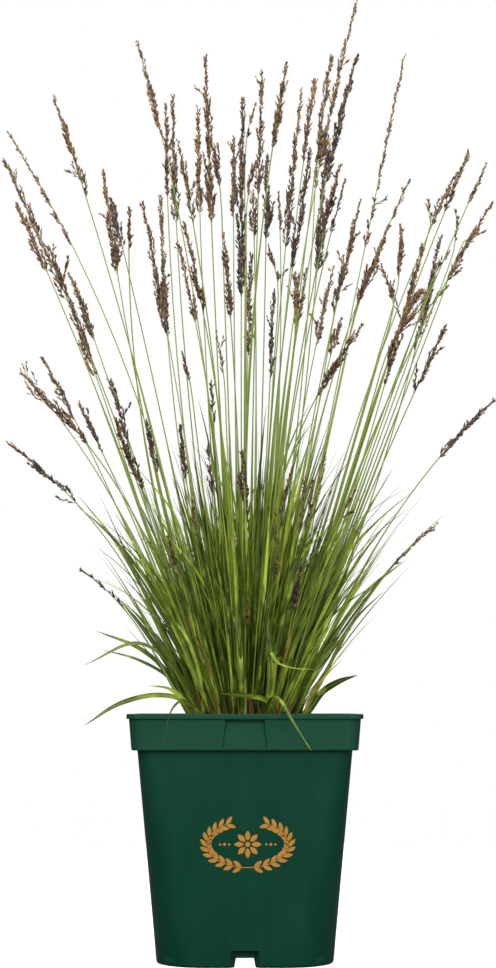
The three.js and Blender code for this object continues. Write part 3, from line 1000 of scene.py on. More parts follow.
def side_block(edit, shape, low_near, high_near, far, share=1.0, grow_by=0.0):
    """Adds four flared blocks, one on each side, from "near" inward to "far" from the axis."""
    low_z, high_z = shape["low"] - grow_by, shape["high"] + grow_by
    low_width = shape["low_width"] / 2 + grow_by
    high_width = shape["high_width"] / 2 + grow_by
    corners = []
    for z, width, near in ((low_z, low_width, low_near), (high_z, high_width, high_near)):
        corners += [(side * width, -near, z) for side in (-1, 1)]
        corners += [(side * width * share, -far, z) for side in (1, -1)]
    faces = ((3, 2, 1, 0), (4, 5, 6, 7), (0, 1, 5, 4), (1, 2, 6, 5), (2, 3, 7, 6), (3, 0, 4, 7))
    for quarter in range(4):
        turn = Matrix.Rotation(quarter * math.pi / 2, 3, "Z")
        verts = [edit.verts.new(turn @ Vector(corner) * MM) for corner in corners]
        for face in faces:
            edit.faces.new([verts[i] for i in face])


def carve(piece, edit, operation):
    """Joins or cuts a piece with the solids in an edited mesh."""
    bmesh.ops.recalc_face_normals(edit, faces=edit.faces)
    tool = new_piece("cutter", edit)
    modifier = piece.modifiers.new("carve", "BOOLEAN")
    modifier.operation = operation
    modifier.solver = "EXACT"
    modifier.object = tool
    settle(piece)
    bpy.data.objects.remove(tool)


def settle(piece):
    """Turns a piece and its modifiers into a plain mesh."""
    graph = bpy.context.evaluated_depsgraph_get()
    mesh = bpy.data.meshes.new_from_object(piece.evaluated_get(graph), depsgraph=graph)
    piece.modifiers.clear()
    old = piece.data
    piece.data = mesh
    bpy.data.meshes.remove(old)


def pot_shell():
    """The whole pot: body, sunk panels, notches with their mouths, and drain holes."""
    piece = new_piece("pot_shell", lofted_pot())
    panel_back = collar_half(PANEL["low"]) - PANEL["depth"]
    low, high = PANEL["low"] - WALL, PANEL["high"] + WALL
    backing = bmesh.new()
    side_block(
        backing, PANEL, collar_half(low) - EMBED, collar_half(high) - EMBED, panel_back - WALL,
        grow_by=WALL,
    )
    carve(piece, backing, "UNION")
    notch_back = body_half(0) - NOTCH["depth"]
    backing = bmesh.new()
    side_block(
        backing, {**NOTCH, "low": WALL + 0.05}, BASE_HALF - NOTCH_WALL_INSET,
        body_half(NOTCH["high"]) - EMBED, notch_back - WALL, NOTCH_WALL_SHARE, WALL,
    )
    carve(piece, backing, "UNION")
    cuts = bmesh.new()
    side_block(cuts, PANEL, LIP_HALF - EMBED, LIP_HALF - EMBED, panel_back)
    start = body_half(0) + OUTSIDE
    flare = (MOUTH["low_width"] + NOTCH_MARGIN) / NOTCH["low_width"]
    side_block(cuts, {**NOTCH, "low": BELOW}, start, start, notch_back, flare)
    for i in range(DRAIN_HOLES):
        angle = (i + 0.5) / DRAIN_HOLES * 2 * math.pi
        centre = Vector((math.cos(angle), math.sin(angle), 0)) * DRAIN_CIRCLE * MM
        centre.z = (FLOOR_Z + FLOOR_TOP) / 2 * MM
        bmesh.ops.create_cone(
            cuts, cap_ends=True, segments=24, radius1=DRAIN_RADIUS * MM, radius2=DRAIN_RADIUS * MM,
            depth=3 * WALL * MM, matrix=Matrix.Translation(centre),
        )
    carve(piece, cuts, "DIFFERENCE")
    mouths = bmesh.new()
    side_block(mouths, {**MOUTH, "low": BELOW}, start, start, start - OUTSIDE - MOUTH["depth"])
    carve(piece, mouths, "DIFFERENCE")
    return piece


class MOORGRASS_OT_pot(bpy.types.Operator):
    """Make the square nursery pot"""

    bl_idname = "moorgrass.pot"
    bl_label = "Pot"

    def execute(self, context):
        settings = context.scene.moorgrass_pot
        piece = pot_shell()
        bevel = piece.modifiers.new("edges", "BEVEL")
        bevel.width = settings.edge_round
        bevel.segments = 2
        bevel.limit_method = "ANGLE"
        bevel.angle_limit = math.radians(BEVEL_DEGREES)
        bevel.use_clamp_overlap = True
        settle(piece)
        soften(piece.data, 40)
        weighted = piece.modifiers.new("normals", "WEIGHTED_NORMAL")
        weighted.keep_sharp = True
        settle(piece)
        piece.data.materials.clear()
        piece.data.materials.append(material_once(pot_plastic, settings))
        hand_over(piece, "pot", "pot")
        return {"FINISHED"}


# Printed ornament: a wreath of leaf pairs with a rosette, in millimetres on the wall.
PRINT_DEPTH = 0.08
PRINT_SINK = 0.05
WREATH_PAIRS = 12
WREATH_GAP = 0.5
WREATH_INSET = 4
WREATH_STROKE = 0.6
WREATH_STEPS = 24
ORNAMENT_LEAF = {"length": 7.4, "width": 2.9, "angle": 34}
ROSETTE_PETALS = 8
ROSETTE = {"petal": (7.2, 3.6), "from_middle": 2.6, "disc": 1.8}
SIDE_MARK = {"x": 16.5, "diamond": 1.3, "dot": 0.8, "gap": 3.2}


def pointed_leaf(length, width, steps=7):
    """A leaf outline along +X from the origin, pointed at both ends."""
    upper = [
        (length * i / steps, width / 2 * math.sin(math.pi * i / steps) ** 0.8)
        for i in range(steps + 1)
    ]
    lower = [(x, -y) for x, y in reversed(upper[1:-1])]
    return upper + lower


def moved(outline, x, y, angle):
    turn = Matrix.Rotation(angle, 2)
    return [tuple(turn @ Vector(p) + Vector((x, y))) for p in outline]


def disc(radius, steps=16):
    return [
        (radius * math.cos(2 * math.pi * i / steps), radius * math.sin(2 * math.pi * i / steps))
        for i in range(steps)
    ]


def ribbon(line, width):
    """The outline of a stroke of that width along a line."""
    line = [Vector(p) for p in line]
    left, right = [], []
    for i, point in enumerate(line):
        ahead = line[min(i + 1, len(line) - 1)] - line[max(i - 1, 0)]
        across = Vector((-ahead.y, ahead.x)).normalized() * width / 2
        left.append(tuple(point + across))
        right.append(tuple(point - across))
    return left + right[::-1]


def wreath_outlines(width, height):
    """Every printed shape, as outlines around the wreath's middle."""
    outlines = []
    leaf = pointed_leaf(ORNAMENT_LEAF["length"], ORNAMENT_LEAF["width"])
    a, b = width / 2 - WREATH_INSET, height / 2 - WREATH_INSET
    for hand in (1, -1):
        line = []
        for i in range(WREATH_STEPS + 1):
            angle = -math.pi / 2 + (math.pi - WREATH_GAP) * i / WREATH_STEPS
            line.append((hand * a * math.cos(angle), b * math.sin(angle)))
        outlines.append(ribbon(line, WREATH_STROKE))
        for i in range(WREATH_PAIRS):
            angle = -math.pi / 2 + (math.pi - WREATH_GAP) * (i + 0.7) / WREATH_PAIRS
            x, y = hand * a * math.cos(angle), b * math.sin(angle)
            heading = math.atan2(b * math.cos(angle), -hand * a * math.sin(angle))
            for lean in (1, -1):
                turn = heading + lean * math.radians(ORNAMENT_LEAF["angle"])
                outlines.append(moved(leaf, x, y, turn))
    petal = pointed_leaf(*ROSETTE["petal"])
    far = ROSETTE["from_middle"]
    for i in range(ROSETTE_PETALS):
        angle = 2 * math.pi * i / ROSETTE_PETALS
        outlines.append(moved(petal, far * math.cos(angle), far * math.sin(angle), angle))
    outlines.append(disc(ROSETTE["disc"]))
    for x in (-SIDE_MARK["x"], SIDE_MARK["x"]):
        outlines.append(moved(disc(SIDE_MARK["diamond"], 4), x, 0, 0))
        for gap in (-SIDE_MARK["gap"], SIDE_MARK["gap"]):
            outlines.append(moved(disc(SIDE_MARK["dot"]), x + gap, 0, 0))
    return outlines


class MOORGRASS_OT_print(bpy.types.Operator):
    """Print the wreath on the front wall"""

    bl_idname = "moorgrass.print"
    bl_label = "Printed wreath"

    def execute(self, context):
        settings = context.scene.moorgrass_pot
        slope = math.atan2(BODY_TOP_HALF - BASE_HALF, STEP_Z - BASE_EDGE)
        level = settings.print_level / MM
        origin = Vector((EYE.x / MM, -body_half(level), level))
        across = Vector((1, 0, 0))
        upward = Vector((0, -math.sin(slope), math.cos(slope)))
        outward = Vector((0, -math.cos(slope), -math.sin(slope)))
        edit = bmesh.new()
        outlines = wreath_outlines(settings.print_width / MM, settings.print_height / MM)
        for outline in outlines:
            rims = []
            for depth in (-PRINT_SINK, PRINT_DEPTH):
                spots = [origin + across * x + upward * y + outward * depth for x, y in outline]
                rims.append([edit.verts.new(spot * MM) for spot in spots])
            back, front = rims
            edit.faces.new(back)
            edit.faces.new(front[::-1])
            for i in range(len(outline)):
                j = (i + 1) % len(outline)
                edit.faces.new((back[i], back[j], front[j], front[i]))
        bmesh.ops.triangulate(edit, faces=[f for f in edit.faces if len(f.verts) > 4])
        bmesh.ops.recalc_face_normals(edit, faces=edit.faces)
        piece = new_piece("printed_wreath", edit, material_once(print_ink, settings))
        hand_over(piece, "pot")
        return {"FINISHED"}


# Soil and tussock.
SOIL_SHEET_HALF = 78 * MM
SOIL_SHEET_CORNER = 6.5 * MM
SOIL_RELIEF = 1.3 * MM
SOIL_SINK = 0.8 * MM
SOIL_RINGS = 26
CROWN_RINGS = 22
CROWN_SPOKES = 72
CRUMB_BED = 0.85
SHEATH_BED = 0.72
SCATTER_DENSITY = 90000.0
SHEATH_SIDES = 5

# A sheath's rings: height, radius and how far it is bent over, in parts of its length.
SHEATH_RINGS = ((-0.08, 0.075, 0.0), (0.35, 0.06, 0.01), (0.75, 0.04, 0.04), (1.0, 0.008, 0.09))


def crumb():
    """A rough lump one unit across."""
    edit = bmesh.new()
    bmesh.ops.create_icosphere(edit, subdivisions=1, radius=0.5)
    for vert in edit.verts:
        vert.co *= 0.8 + 0.5 * noise.noise(vert.co * 3.1)
    return object_of("crumb", edit)


def sheath_stub():
    """A short sheath, one unit tall, that narrows upwards."""
    edit = bmesh.new()
    rings = []
    for z, radius, bend in SHEATH_RINGS:
        ring = []
        for i in range(SHEATH_SIDES):
            angle = 2 * math.pi * i / SHEATH_SIDES
            x, y = radius * math.cos(angle) + bend, radius * math.sin(angle) * 0.7
            ring.append(edit.verts.new((x, y, z)))
        rings.append(ring)
    for lower, upper in zip(rings, rings[1:]):
        for i in range(SHEATH_SIDES):
            j = (i + 1) % SHEATH_SIDES
            edit.faces.new((lower[i], lower[j], upper[j], upper[i]))
    edit.faces.new(rings[0][::-1])
    edit.faces.new(rings[-1])
    return object_of("sheath_stub", edit)


def closed_sheet(edit, rings, centre_height):
    """Joins rings of points into a sheet with a rim that goes down into the root ball."""
    rings.append([edit.verts.new((v.co.x, v.co.y, SOIL_HIGH.z - SOIL_SINK)) for v in rings[-1]])
    centre = edit.verts.new((0, 0, centre_height))
    count = len(rings[0])
    for i in range(count):
        edit.faces.new((centre, rings[0][i], rings[0][(i + 1) % count]))
    for inner, outer in zip(rings, rings[1:]):
        for i in range(count):
            j = (i + 1) % count
            edit.faces.new((inner[i], outer[i], outer[j], inner[j]))
    edit.faces.new(rings[-1][::-1])
    bmesh.ops.recalc_face_normals(edit, faces=edit.faces)
    return edit


def soil_surface():
    """A bumpy sheet of peat, closed below."""
    outline = square_ring(SOIL_SHEET_HALF / MM, SOIL_SHEET_CORNER / MM)
    edit = bmesh.new()
    rings = []
    for step in range(1, SOIL_RINGS + 1):
        share = step / SOIL_RINGS
        ring = []
        for p in outline:
            x, y = p.x * MM * share, p.y * MM * share
            ripple = noise.fractal(Vector((x, y, 0.3)) * 130, 0.8, 2.1, 4)
            ring.append(edit.verts.new((x, y, SOIL_HIGH.z + SOIL_RELIEF * (0.35 + ripple))))
        rings.append(ring)
    return closed_sheet(edit, rings, SOIL_HIGH.z)


def crown_height(radius):
    """The frame's dome: how high the tussock stands at that distance from the axis."""
    return CROWN_HIGH.z - CROWN_RISE * (radius / CROWN_FLAT_RADIUS) ** 2


def tussock_dome():
    """The matted foot of the tussock, closed below."""
    edit = bmesh.new()
    rings = []
    for step in range(1, CROWN_RINGS + 1):
        radius = CROWN_RADIUS * step / CROWN_RINGS
        ring = []
        for i in range(CROWN_SPOKES):
            angle = 2 * math.pi * i / CROWN_SPOKES
            x, y = radius * math.cos(angle), radius * math.sin(angle)
            ripple = noise.fractal(Vector((x, y, 0.7)) * 160, 0.7, 2.2, 4)
            spread = 1 - 0.05 * noise.noise(Vector((math.cos(angle), math.sin(angle), 0)) * 2.5)
            z = max(crown_height(min(radius, CROWN_FLAT_RADIUS)) + ripple * 1.6 * MM, SOIL_HIGH.z)
            if step == CROWN_RINGS:
                z = SOIL_HIGH.z + 0.4 * MM
            ring.append(edit.verts.new((x * spread, y * spread, z)))
        rings.append(ring)
    return closed_sheet(edit, rings, crown_height(0))


def top_sheet(piece, name, keep):
    """A copy of a piece's upward faces whose middles pass a test, to scatter on."""
    edit = bmesh.new()
    edit.from_mesh(piece.data)
    edit.normal_update()
    spare = [f for f in edit.faces if f.normal.z < 0.3 or not keep(f.calc_center_median())]
    bmesh.ops.delete(edit, geom=spare, context="FACES")
    return object_of(name, edit)


def scattered(bed, shape, name, **values):
    """Copies of a shape, scattered on a bed as one piece."""
    values.update(Piece=shape, Density=SCATTER_DENSITY)
    piece = grow(bed, scatter_tree(), values, name)
    bpy.data.objects.remove(shape)
    return piece


class MOORGRASS_OT_soil(bpy.types.Operator):
    """Make the peat surface and its crumbs"""

    bl_idname = "moorgrass.soil"
    bl_label = "Soil"

    def execute(self, context):
        settings = context.scene.moorgrass_plant
        material = material_once(peat, settings)
        surface = new_piece("peat_surface", soil_surface(), material)
        soften(surface.data, 60)
        bare = CROWN_RADIUS * CRUMB_BED
        bed = top_sheet(surface, "crumb_bed", lambda p: math.hypot(p.x, p.y) > bare)
        crumbs = scattered(
            bed, crumb(), "peat_crumbs", Seed=settings.seed, Smallest=0.7 * MM, Largest=3.4 * MM,
            Tumble=math.pi, Material=material,
        )
        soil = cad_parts["soil"]
        soil.data.materials.clear()
        soil.data.materials.append(material)
        hand_over(surface, "soil")
        hand_over(crumbs, "soil")
        return {"FINISHED"}


class MOORGRASS_OT_tussock(bpy.types.Operator):
    """Make the matted foot of the tussock and its old sheaths"""

    bl_idname = "moorgrass.tussock"
    bl_label = "Tussock"

    def execute(self, context):
        settings = context.scene.moorgrass_plant
        dome = new_piece("tussock", tussock_dome(), material_once(peat, settings))
        soften(dome.data, 60)
        reach = SHEATH_BED * CROWN_RADIUS
        bed = top_sheet(dome, "sheath_bed", lambda p: math.hypot(p.x, p.y) < reach)
        sheaths = scattered(
            bed, sheath_stub(), "old_sheaths", Seed=settings.seed + 4, Smallest=8 * MM,
            Largest=26 * MM, Outward=6.0, Tumble=0.24, Material=material_once(old_sheath, settings),
        )
        soften(sheaths.data, 70)
        hand_over(dome, "crown", "crown")
        hand_over(sheaths, "crown")
        return {"FINISHED"}


# Stems that stand between the frame's own. Each row: the tip's and the neck's x and z in
# millimetres on the upright sheet, how far behind the sheet the tip is, the kind of
# panicle, and its tone from tan at 0 to purple at 1, or FRESH for a green one.
FRESH = -0.5
STRAIGHT_ENOUGH = math.cos(math.radians(9))
EXTRA_STEMS = (
    (-103, 572, -94, 535, 60, "d", 0.85), (-133, 513, -115, 463, 30, "m", 0.4),
    (-48, 454, -42, 432, -70, "t", 0.5), (-51, 537, -38, 478, 40, "m", 0.4),
    (-22, 470, -16, 437, -40, "t", 0.4), (-26, 431, -24, 399, -90, "t", 0.7),
    (-154, 449, -129, 401, 80, "m", 0.45), (-126, 412, -108, 376, -50, "m", 0.6),
    (-102, 431, -88, 381, 20, "m", 0.75), (-75, 402, -67, 361, -80, "m", 0.8),
    (29, 667, 21, 615, 70, "m", 0.7), (77, 590, 66, 548, -60, "t", 0.8),
    (89, 574, 68, 483, 40, "m", 0.5), (160, 590, 143, 552, 90, "m", 0.35),
    (142, 573, 144, 556, -30, "t", 0.6), (163, 566, 163, 540, 60, "t", 0.5),
    (120, 554, 119, 511, 30, "m", 0.35), (5, 531, 2, 451, 90, "d", 0.65),
    (22, 500, 19, 432, -60, "m", 0.85), (38, 513, 39, 472, 110, "m", 0.3),
    (47, 520, 41, 482, -20, "t", 0.7), (107, 543, 86, 491, -40, "m", 0.45),
    (106, 518, 116, 496, 20, "t", 0.55), (138, 498, 111, 462, -20, "d", 0.4),
    (154, 505, 140, 490, 100, "t", 0.6), (154, 476, 129, 423, -40, "m", 0.7),
    (72, 478, 65, 451, 60, "m", 0.5), (-26, 619, -19, 584, -40, "d", 0.3),
    (7, 647, 0, 623, -30, "t", 0.6), (7, 602, 1, 576, 60, "m", 0.4),
    (6, 578, 7, 542, -60, "m", 0.5), (17, 607, 16, 542, 20, "d", 0.9),
    (67, 689, 55, 603, -20, "m", 0.25), (50, 611, 36, 518, -60, "d", 0.9),
    (55, 607, 54, 582, 110, "t", 0.8), (63, 620, 55, 517, 30, "d", 0.85),
    (26, 580, 27, 549, 130, "t", 0.5), (18, 539, 26, 509, 70, "t", 0.5),
    (84, 547, 70, 493, -90, "m", 0.6), (111, 555, 86, 494, 110, "m", 0.35),
    (105, 522, 116, 497, 80, "t", 0.5), (40, 513, 39, 476, -90, "m", 0.3),
    (157, 533, 146, 517, -60, "t", 0.7), (135, 502, 120, 480, 40, "d", 0.35),
    (183, 549, 169, 544, 40, "t", 0.5), (-49, 394, -45, 356, -70, "m", 0.8),
    (-28, 381, -25, 343, -60, "t", 0.8), (-2, 375, 1, 327, -76, "d", 0.85),
    (35, 364, 26, 329, -76, "t", 0.8), (46, 359, 41, 316, -64, "t", 0.6),
    (51, 353, 47, 323, -58, "t", 0.8), (61, 377, 55, 343, -40, "t", 0.4),
    (23, 331, 24, 273, -82, "g", FRESH), (83, 348, 71, 327, -50, "t", 0.5),
    (-40, 339, -38, 313, -72, "g", FRESH), (42, 289, 36, 256, -80, "g", 0.9),
    (2, 262, 0, 243, -78, "g", FRESH), (-58, 312, -50, 284, -70, "g", FRESH),
)
FOOT_SPREAD = 45 * MM
DRAW_IN, DRAW_IN_SHARE = 0.18, 0.4
SPREAD_POWER = 0.7
BACK_POWER = 1.3
FOOT_CLEAR = 0.35 * MM
CULM_POINTS = 26
CULM_FOOT_RADIUS = 1.55 * MM
CULM_NECK_RADIUS = 0.46 * MM
FRAME_NECK_RADIUS = 0.55 * MM
RACHIS_TIP_RADIUS = 0.18 * MM
TWIG_RADIUS = 0.22 * MM
SPIKELET_SPREAD = 0.58

# How a culm thins: its sheath ends between two shares of it and fades out over another, its
# foot varies by a factor, and the bare culm itself tapers by a share towards the neck.
SHEATH_ENDS = (0.45, 0.72)
SHEATH_FADE = 0.3
FOOT_FACTORS = (0.75, 1.15)
CULM_TAPER = 0.35
TWIG_POINTS = 5


def along_sight(x, z, back):
    """The point seen at (x, z) on the sheet, that far behind it."""
    reach = (back - EYE.y) / -EYE.y
    return np.array((EYE.x + (x - EYE.x) * reach, back, EYE.z + (z - EYE.z) * reach))


def arched_stem(tip, neck, back):
    """An extra stem's line and the share of it where its panicle begins."""
    crown = CROWN_HIGH.z
    tip_point = along_sight(tip[0] * MM, tip[1] * MM, back)
    rise = (neck[1] * MM - crown) / (tip[1] * MM - crown)
    neck_point = along_sight(neck[0] * MM, neck[1] * MM, back * rise**BACK_POWER)
    reach = math.hypot(neck_point[0], neck_point[1])
    lean = reach / (neck_point[2] - crown)
    spread = FOOT_SPREAD * min(lean, 1) ** SPREAD_POWER
    x, y = neck_point[:2] / reach * spread
    foot = np.array((x, y, crown_height(spread) + FOOT_CLEAR))
    lower = np.linalg.norm(neck_point - foot)
    share = lower / (lower + np.linalg.norm(tip_point - neck_point))
    if unit(neck_point - foot) @ unit(tip_point - neck_point) < STRAIGHT_ENOUGH:
        # A strong bend stays at the neck, and the culm below it is straight.
        way = [foot + (neck_point - foot) * t for t in (0, 0.3, 0.6, 0.85, 0.97)]
        way += [neck_point + (tip_point - neck_point) * t for t in (0.15, 0.5, 1)]
        return smooth(way, CULM_POINTS), share
    bow = (neck_point - (1 - share) ** 2 * foot - share**2 * tip_point) / (2 * share * (1 - share))
    t = np.linspace(0, 1, 9)[:, None]
    arc = (1 - t) ** 2 * foot + 2 * t * (1 - t) * bow + t**2 * tip_point
    return smooth(arc, CULM_POINTS), share


def drawn_in(line):
    """A line with its foot drawn a little towards the middle of the tussock."""
    low = np.clip(1 - np.linspace(0, 1, len(line)) / DRAW_IN_SHARE, 0, 1)[:, None]
    line[:, :2] *= 1 - DRAW_IN * low**2
    return line


def frame_stem(node):
    """A frame stem's line, and the share of it where it stops thinning and its panicle begins."""
    centres, radii = sections(node, STEM_NODE_SIDES)
    step = 1 / (len(radii) - 1)
    neck = step * (radii[0] - FRAME_NECK_RADIUS) / (radii[0] - radii[1])
    return drawn_in(smooth(centres, CULM_POINTS)), float(neck)


# How a panicle looks: millimetres between whorls, twigs at a whorl, millimetres that the
# lowest twigs reach, degrees that they stand off, and their share of bare foot.
PANICLE_KINDS = {
    "t": {"whorl": 6.6, "twigs": 1.5, "reach": 11, "angle": 6.5, "bare": 0.1},
    "m": {"whorl": 6.4, "twigs": 2.2, "reach": 18, "angle": 7.5, "bare": 0.16},
    "d": {"whorl": 6.2, "twigs": 2.6, "reach": 22, "angle": 8.5, "bare": 0.16},
    "o": {"whorl": 9.0, "twigs": 1.7, "reach": 34, "angle": 22, "bare": 0.3},
    "g": {"whorl": 5.0, "twigs": 2.2, "reach": 14, "angle": 5.0, "bare": 0.1},
}
FRAME_KINDS = "dtmmd" "dtmmd" "mmddd" "mmmmm" "ommtm" "dtmmm" "mmtmt" "mmddm" "mt"
FRAME_TONES = (
    0.35, 0.15, 0.2, 0.3, 0.4, 0.35, 0.4, 0.2, 0.3, 0.7, 0.3, 0.35, 0.35, 0.5, 0.85, 0.6, 0.3, 0.45,
    0.4, 0.35, 0.4, 0.85, 0.75, 0.8, 0.15, 0.95, 0.25, 0.4, 0.3, 0.5, 0.3, 0.5, 0.3, 0.3, 0.3, 0.35,
    0.4, 0.9, 0.35, 0.9, 0.45, 0.8,
)
SIDE_BRANCH_CHANCE = 0.05
SIDE_BRANCH_DEGREES = (20, 45)
LAST_WHORL = 0.97
BEARING_SHARE = 0.4
ROOT_DEPTH = 3 * MM


def frame_at(points, share):
    """The point and the heading at a share of a line's length."""
    steps, at = stations(points)
    at = at / steps.sum()
    def spot(where):
        return np.array([np.interp(where, at, points[:, k]) for k in range(3)])

    return spot(share), unit(spot(min(share + 0.02, 1)) - spot(max(share - 0.02, 0)))


def stem_strands(points, neck, kind, tone, chance):
    """A stem with the twigs of its panicle, ready to sweep and to bear spikelets."""
    strands = Strands()
    shares = np.linspace(0, 1, len(points))
    below = np.clip(shares / neck, 0, 1)
    above = np.clip((shares - neck) / (1 - neck), 0, 1)
    sheathed = np.clip((chance.uniform(*SHEATH_ENDS) - below) / SHEATH_FADE, 0, 1)
    bare = CULM_NECK_RADIUS * (1 + CULM_TAPER - CULM_TAPER * below)
    foot = CULM_FOOT_RADIUS * chance.uniform(*FOOT_FACTORS)
    size = bare + (foot - bare) * sheathed**0.7 * (1 - CULM_TAPER * below)
    size = size + (RACHIS_TIP_RADIUS - CULM_NECK_RADIUS) * above
    stalk_tone = max(0.0, tone) * (1 - 0.5 * above)
    if tone < 0:
        stalk_tone = np.where(above > 0.3, FRESH, 0.3)
    rooted = points.copy()
    rooted[0, 2] -= ROOT_DEPTH
    strands.add(
        rooted, size=size, along=0.8 * below + 0.2 * above, tone=stalk_tone,
        bears=(above > BEARING_SHARE).astype(float), vigour=1 - 0.3 * above,
    )
    panicle = length_of(points) * (1 - neck)
    spot = 0.0
    while spot < panicle * LAST_WHORL:
        height = spot / panicle
        point, heading = frame_at(points, neck + (1 - neck) * height)
        level = unit(np.cross(heading, (chance.uniform(-1, 1), chance.uniform(-1, 1), 0.2)))
        for _ in range(max(1, round(kind["twigs"] + chance.uniform(-0.8, 0.8)))):
            spin = chance.uniform(0, 2 * math.pi)
            side = math.cos(spin) * level + math.sin(spin) * np.cross(heading, level)
            full = kind["reach"] * MM * (0.3 + 0.7 * (1 - height) ** 0.8) * chance.uniform(0.5, 1.2)
            reach = min(full, panicle - spot + 3 * MM)
            angle = math.radians(kind["angle"] * chance.uniform(0.4, 1.6))
            if chance.random() < SIDE_BRANCH_CHANCE:
                angle = math.radians(chance.uniform(*SIDE_BRANCH_DEGREES))
            t = np.linspace(0, 1, TWIG_POINTS)[:, None]
            bend = np.sin(t * math.pi / 2) if angle < 0.3 else t
            line = point + heading * t * reach * math.cos(angle) + side * bend * reach * math.sin(angle)
            twig_tone = tone + 0.36 * (0.4 - height) + chance.uniform(-0.2, 0.2)
            strands.add(
                line, size=TWIG_RADIUS * (1 - 0.5 * t[:, 0]), along=0.85 + 0.15 * t[:, 0],
                tone=FRESH if tone < 0 else min(1, max(0, twig_tone)),
                bears=(t[:, 0] > kind["bare"]).astype(float), vigour=1 - 0.25 * height,
            )
        spot += kind["whorl"] * MM * chance.uniform(0.35, 1.9)
    return strands


def floret(edit, start, end, width, layer):
    """Adds a pointed scale between two points; its points know how far along they are."""
    start, end = Vector(start), Vector(end)
    along = end - start
    turn = along.to_track_quat("Z", "X").to_matrix()
    ring = []
    for i in range(4):
        angle = math.pi / 2 * i
        offset = turn @ Vector((math.cos(angle) * width, math.sin(angle) * width * 0.7, 0))
        vert = edit.verts.new(start + along * 0.42 + offset)
        vert[layer] = 0.42
        ring.append(vert)
    foot, tip = edit.verts.new(start), edit.verts.new(end)
    foot[layer], tip[layer] = 0.0, 1.0
    for i in range(4):
        j = (i + 1) % 4
        edit.faces.new((foot, ring[j], ring[i]))
        edit.faces.new((ring[i], ring[j], tip))


def spikelet():
    """One spikelet of three florets, one unit long, growing along +Z."""
    edit = bmesh.new()
    layer = edit.verts.layers.float.new("lobe")
    floret(edit, (0, 0, -0.04), (0.03, 0, 0.86), 0.165, layer)
    floret(edit, (0, 0, 0.08), (-0.2, 0.03, 0.93), 0.145, layer)
    floret(edit, (0, 0, 0.2), (0.18, -0.02, 1.0), 0.12, layer)
    bmesh.ops.recalc_face_normals(edit, faces=edit.faces)
    return object_of("spikelet", edit)


def grow_strands(strands, tree, values, name):
    """Runs a tree on lines, and returns its smooth result."""
    piece = grow(strands.source(name + "_lines"), tree, values, name)
    point_outwards(piece.data)
    soften(piece.data, 50)
    return piece


def grow_stem(strands, seed, settings, shape, name):
    values = {
        "Spikelet": shape, "Spacing": settings.spikelet_gap, "Length": settings.spikelet_length,
        "Spread": SPIKELET_SPREAD, "Seed": seed, "Sides": STEM_NODE_SIDES,
        "Stem Material": material_once(culm_green, settings),
        "Spikelet Material": material_once(spikelet_scales, settings),
    }
    return grow_strands(strands, panicle_tree(), values, name)


def all_stems():
    """Every stem's name, line, neck, kind and tone: the frame's own, then the extra ones."""
    stems = []
    for node, kind, tone in zip(STEM_NODES, FRAME_KINDS, FRAME_TONES):
        stems.append((node, *frame_stem(node), kind, tone))
    for i, (tip_x, tip_z, neck_x, neck_z, back, kind, tone) in enumerate(EXTRA_STEMS):
        line, neck = arched_stem((tip_x, tip_z), (neck_x, neck_z), back * MM)
        stems.append((f"extra_{i + 1:02d}", line, neck, kind, tone))
    return stems


class MOORGRASS_OT_stems(bpy.types.Operator):
    """Make every flowering stem with its panicle"""

    bl_idname = "moorgrass.stems"
    bl_label = "Flowering stems"

    def execute(self, context):
        settings = context.scene.moorgrass_plant
        shape = spikelet()
        for i, (name, points, neck, kind, tone) in enumerate(all_stems()):
            chance = random.Random(settings.seed * 1000 + i)
            strands = stem_strands(points, neck, PANICLE_KINDS[kind], tone, chance)
            piece = grow_stem(strands, settings.seed + 7 * i, settings, shape, "flowering_" + name)
            hand_over(piece, "stem", *([name] if name in STEM_NODES else []))
        bpy.data.objects.remove(shape)
        return {"FINISHED"}


# Leaves.
BLADE_POINTS = 12
EDGE_BLADES = 560
TUSSOCK_SPREAD = 36 * MM
FOOT_DRAW_IN = 0.64
BLADE_SINK = 2 * MM
DRY_LEAF_CHANCE = 0.03

# The blades of a shoot: the most there are, how many fewer there are per degree that it
# leans, how many millimetres they stand off its stem, and the lean that no blade reaches.
SHOOT_BLADES = 20
FEWER_PER_DEGREE = 0.5
SHOOT_GAPS = (0.5, 5)
FLAT_DEGREES = 130

# The least, the most and the commonest reach of a blade, in metres.
SHOOT_REACH = (0.07, 0.255, 0.16)
EDGE_REACH = (0.05, 0.22, 0.13)


def blade_size(count, width, full_share):
    """Half widths along a blade: narrow in the sheath, full, then tapering to a fine point."""
    share = np.linspace(0, 1, count)
    opening = np.clip(share / 0.08, 0, 1) * 0.35 + 0.65
    past = np.clip((share - full_share) / (1 - full_share), 0, 1)
    return width / 2 * opening * (1 - 0.94 * past**1.5)


def lay_blade(strands, points, width, tone, turns, first=None, full_share=0.5):
    """Adds one blade along a line. Without "first" it faces away from the plant's axis."""
    count = len(points)
    if first is None:
        first = np.cross((0, 0, 1), points[-1] - points[0]) + (1e-4, 0, 0)
    sides = width_directions(points, unit(first), np.linspace(*turns, count))
    strands.add(
        points, side=sides, size=blade_size(count, width, full_share),
        along=np.linspace(0, 1, count), tone=tone,
    )


def free_blade(foot, heading, outward, reach, bend, sag):
    """A blade that leaves its foot along "heading", bends outward and sags."""
    steps = BLADE_POINTS - 1
    heading, outward, up = (np.asarray(v, float) for v in (heading, outward, (0, 0, 1)))
    points = [np.asarray(foot, float)]
    for i in range(steps):
        share = (i + 0.5) / steps
        aim = heading + outward * bend * share**1.3 - up * sag * share**2.2
        points.append(points[-1] + unit(aim) * reach / steps)
    return np.array(points)


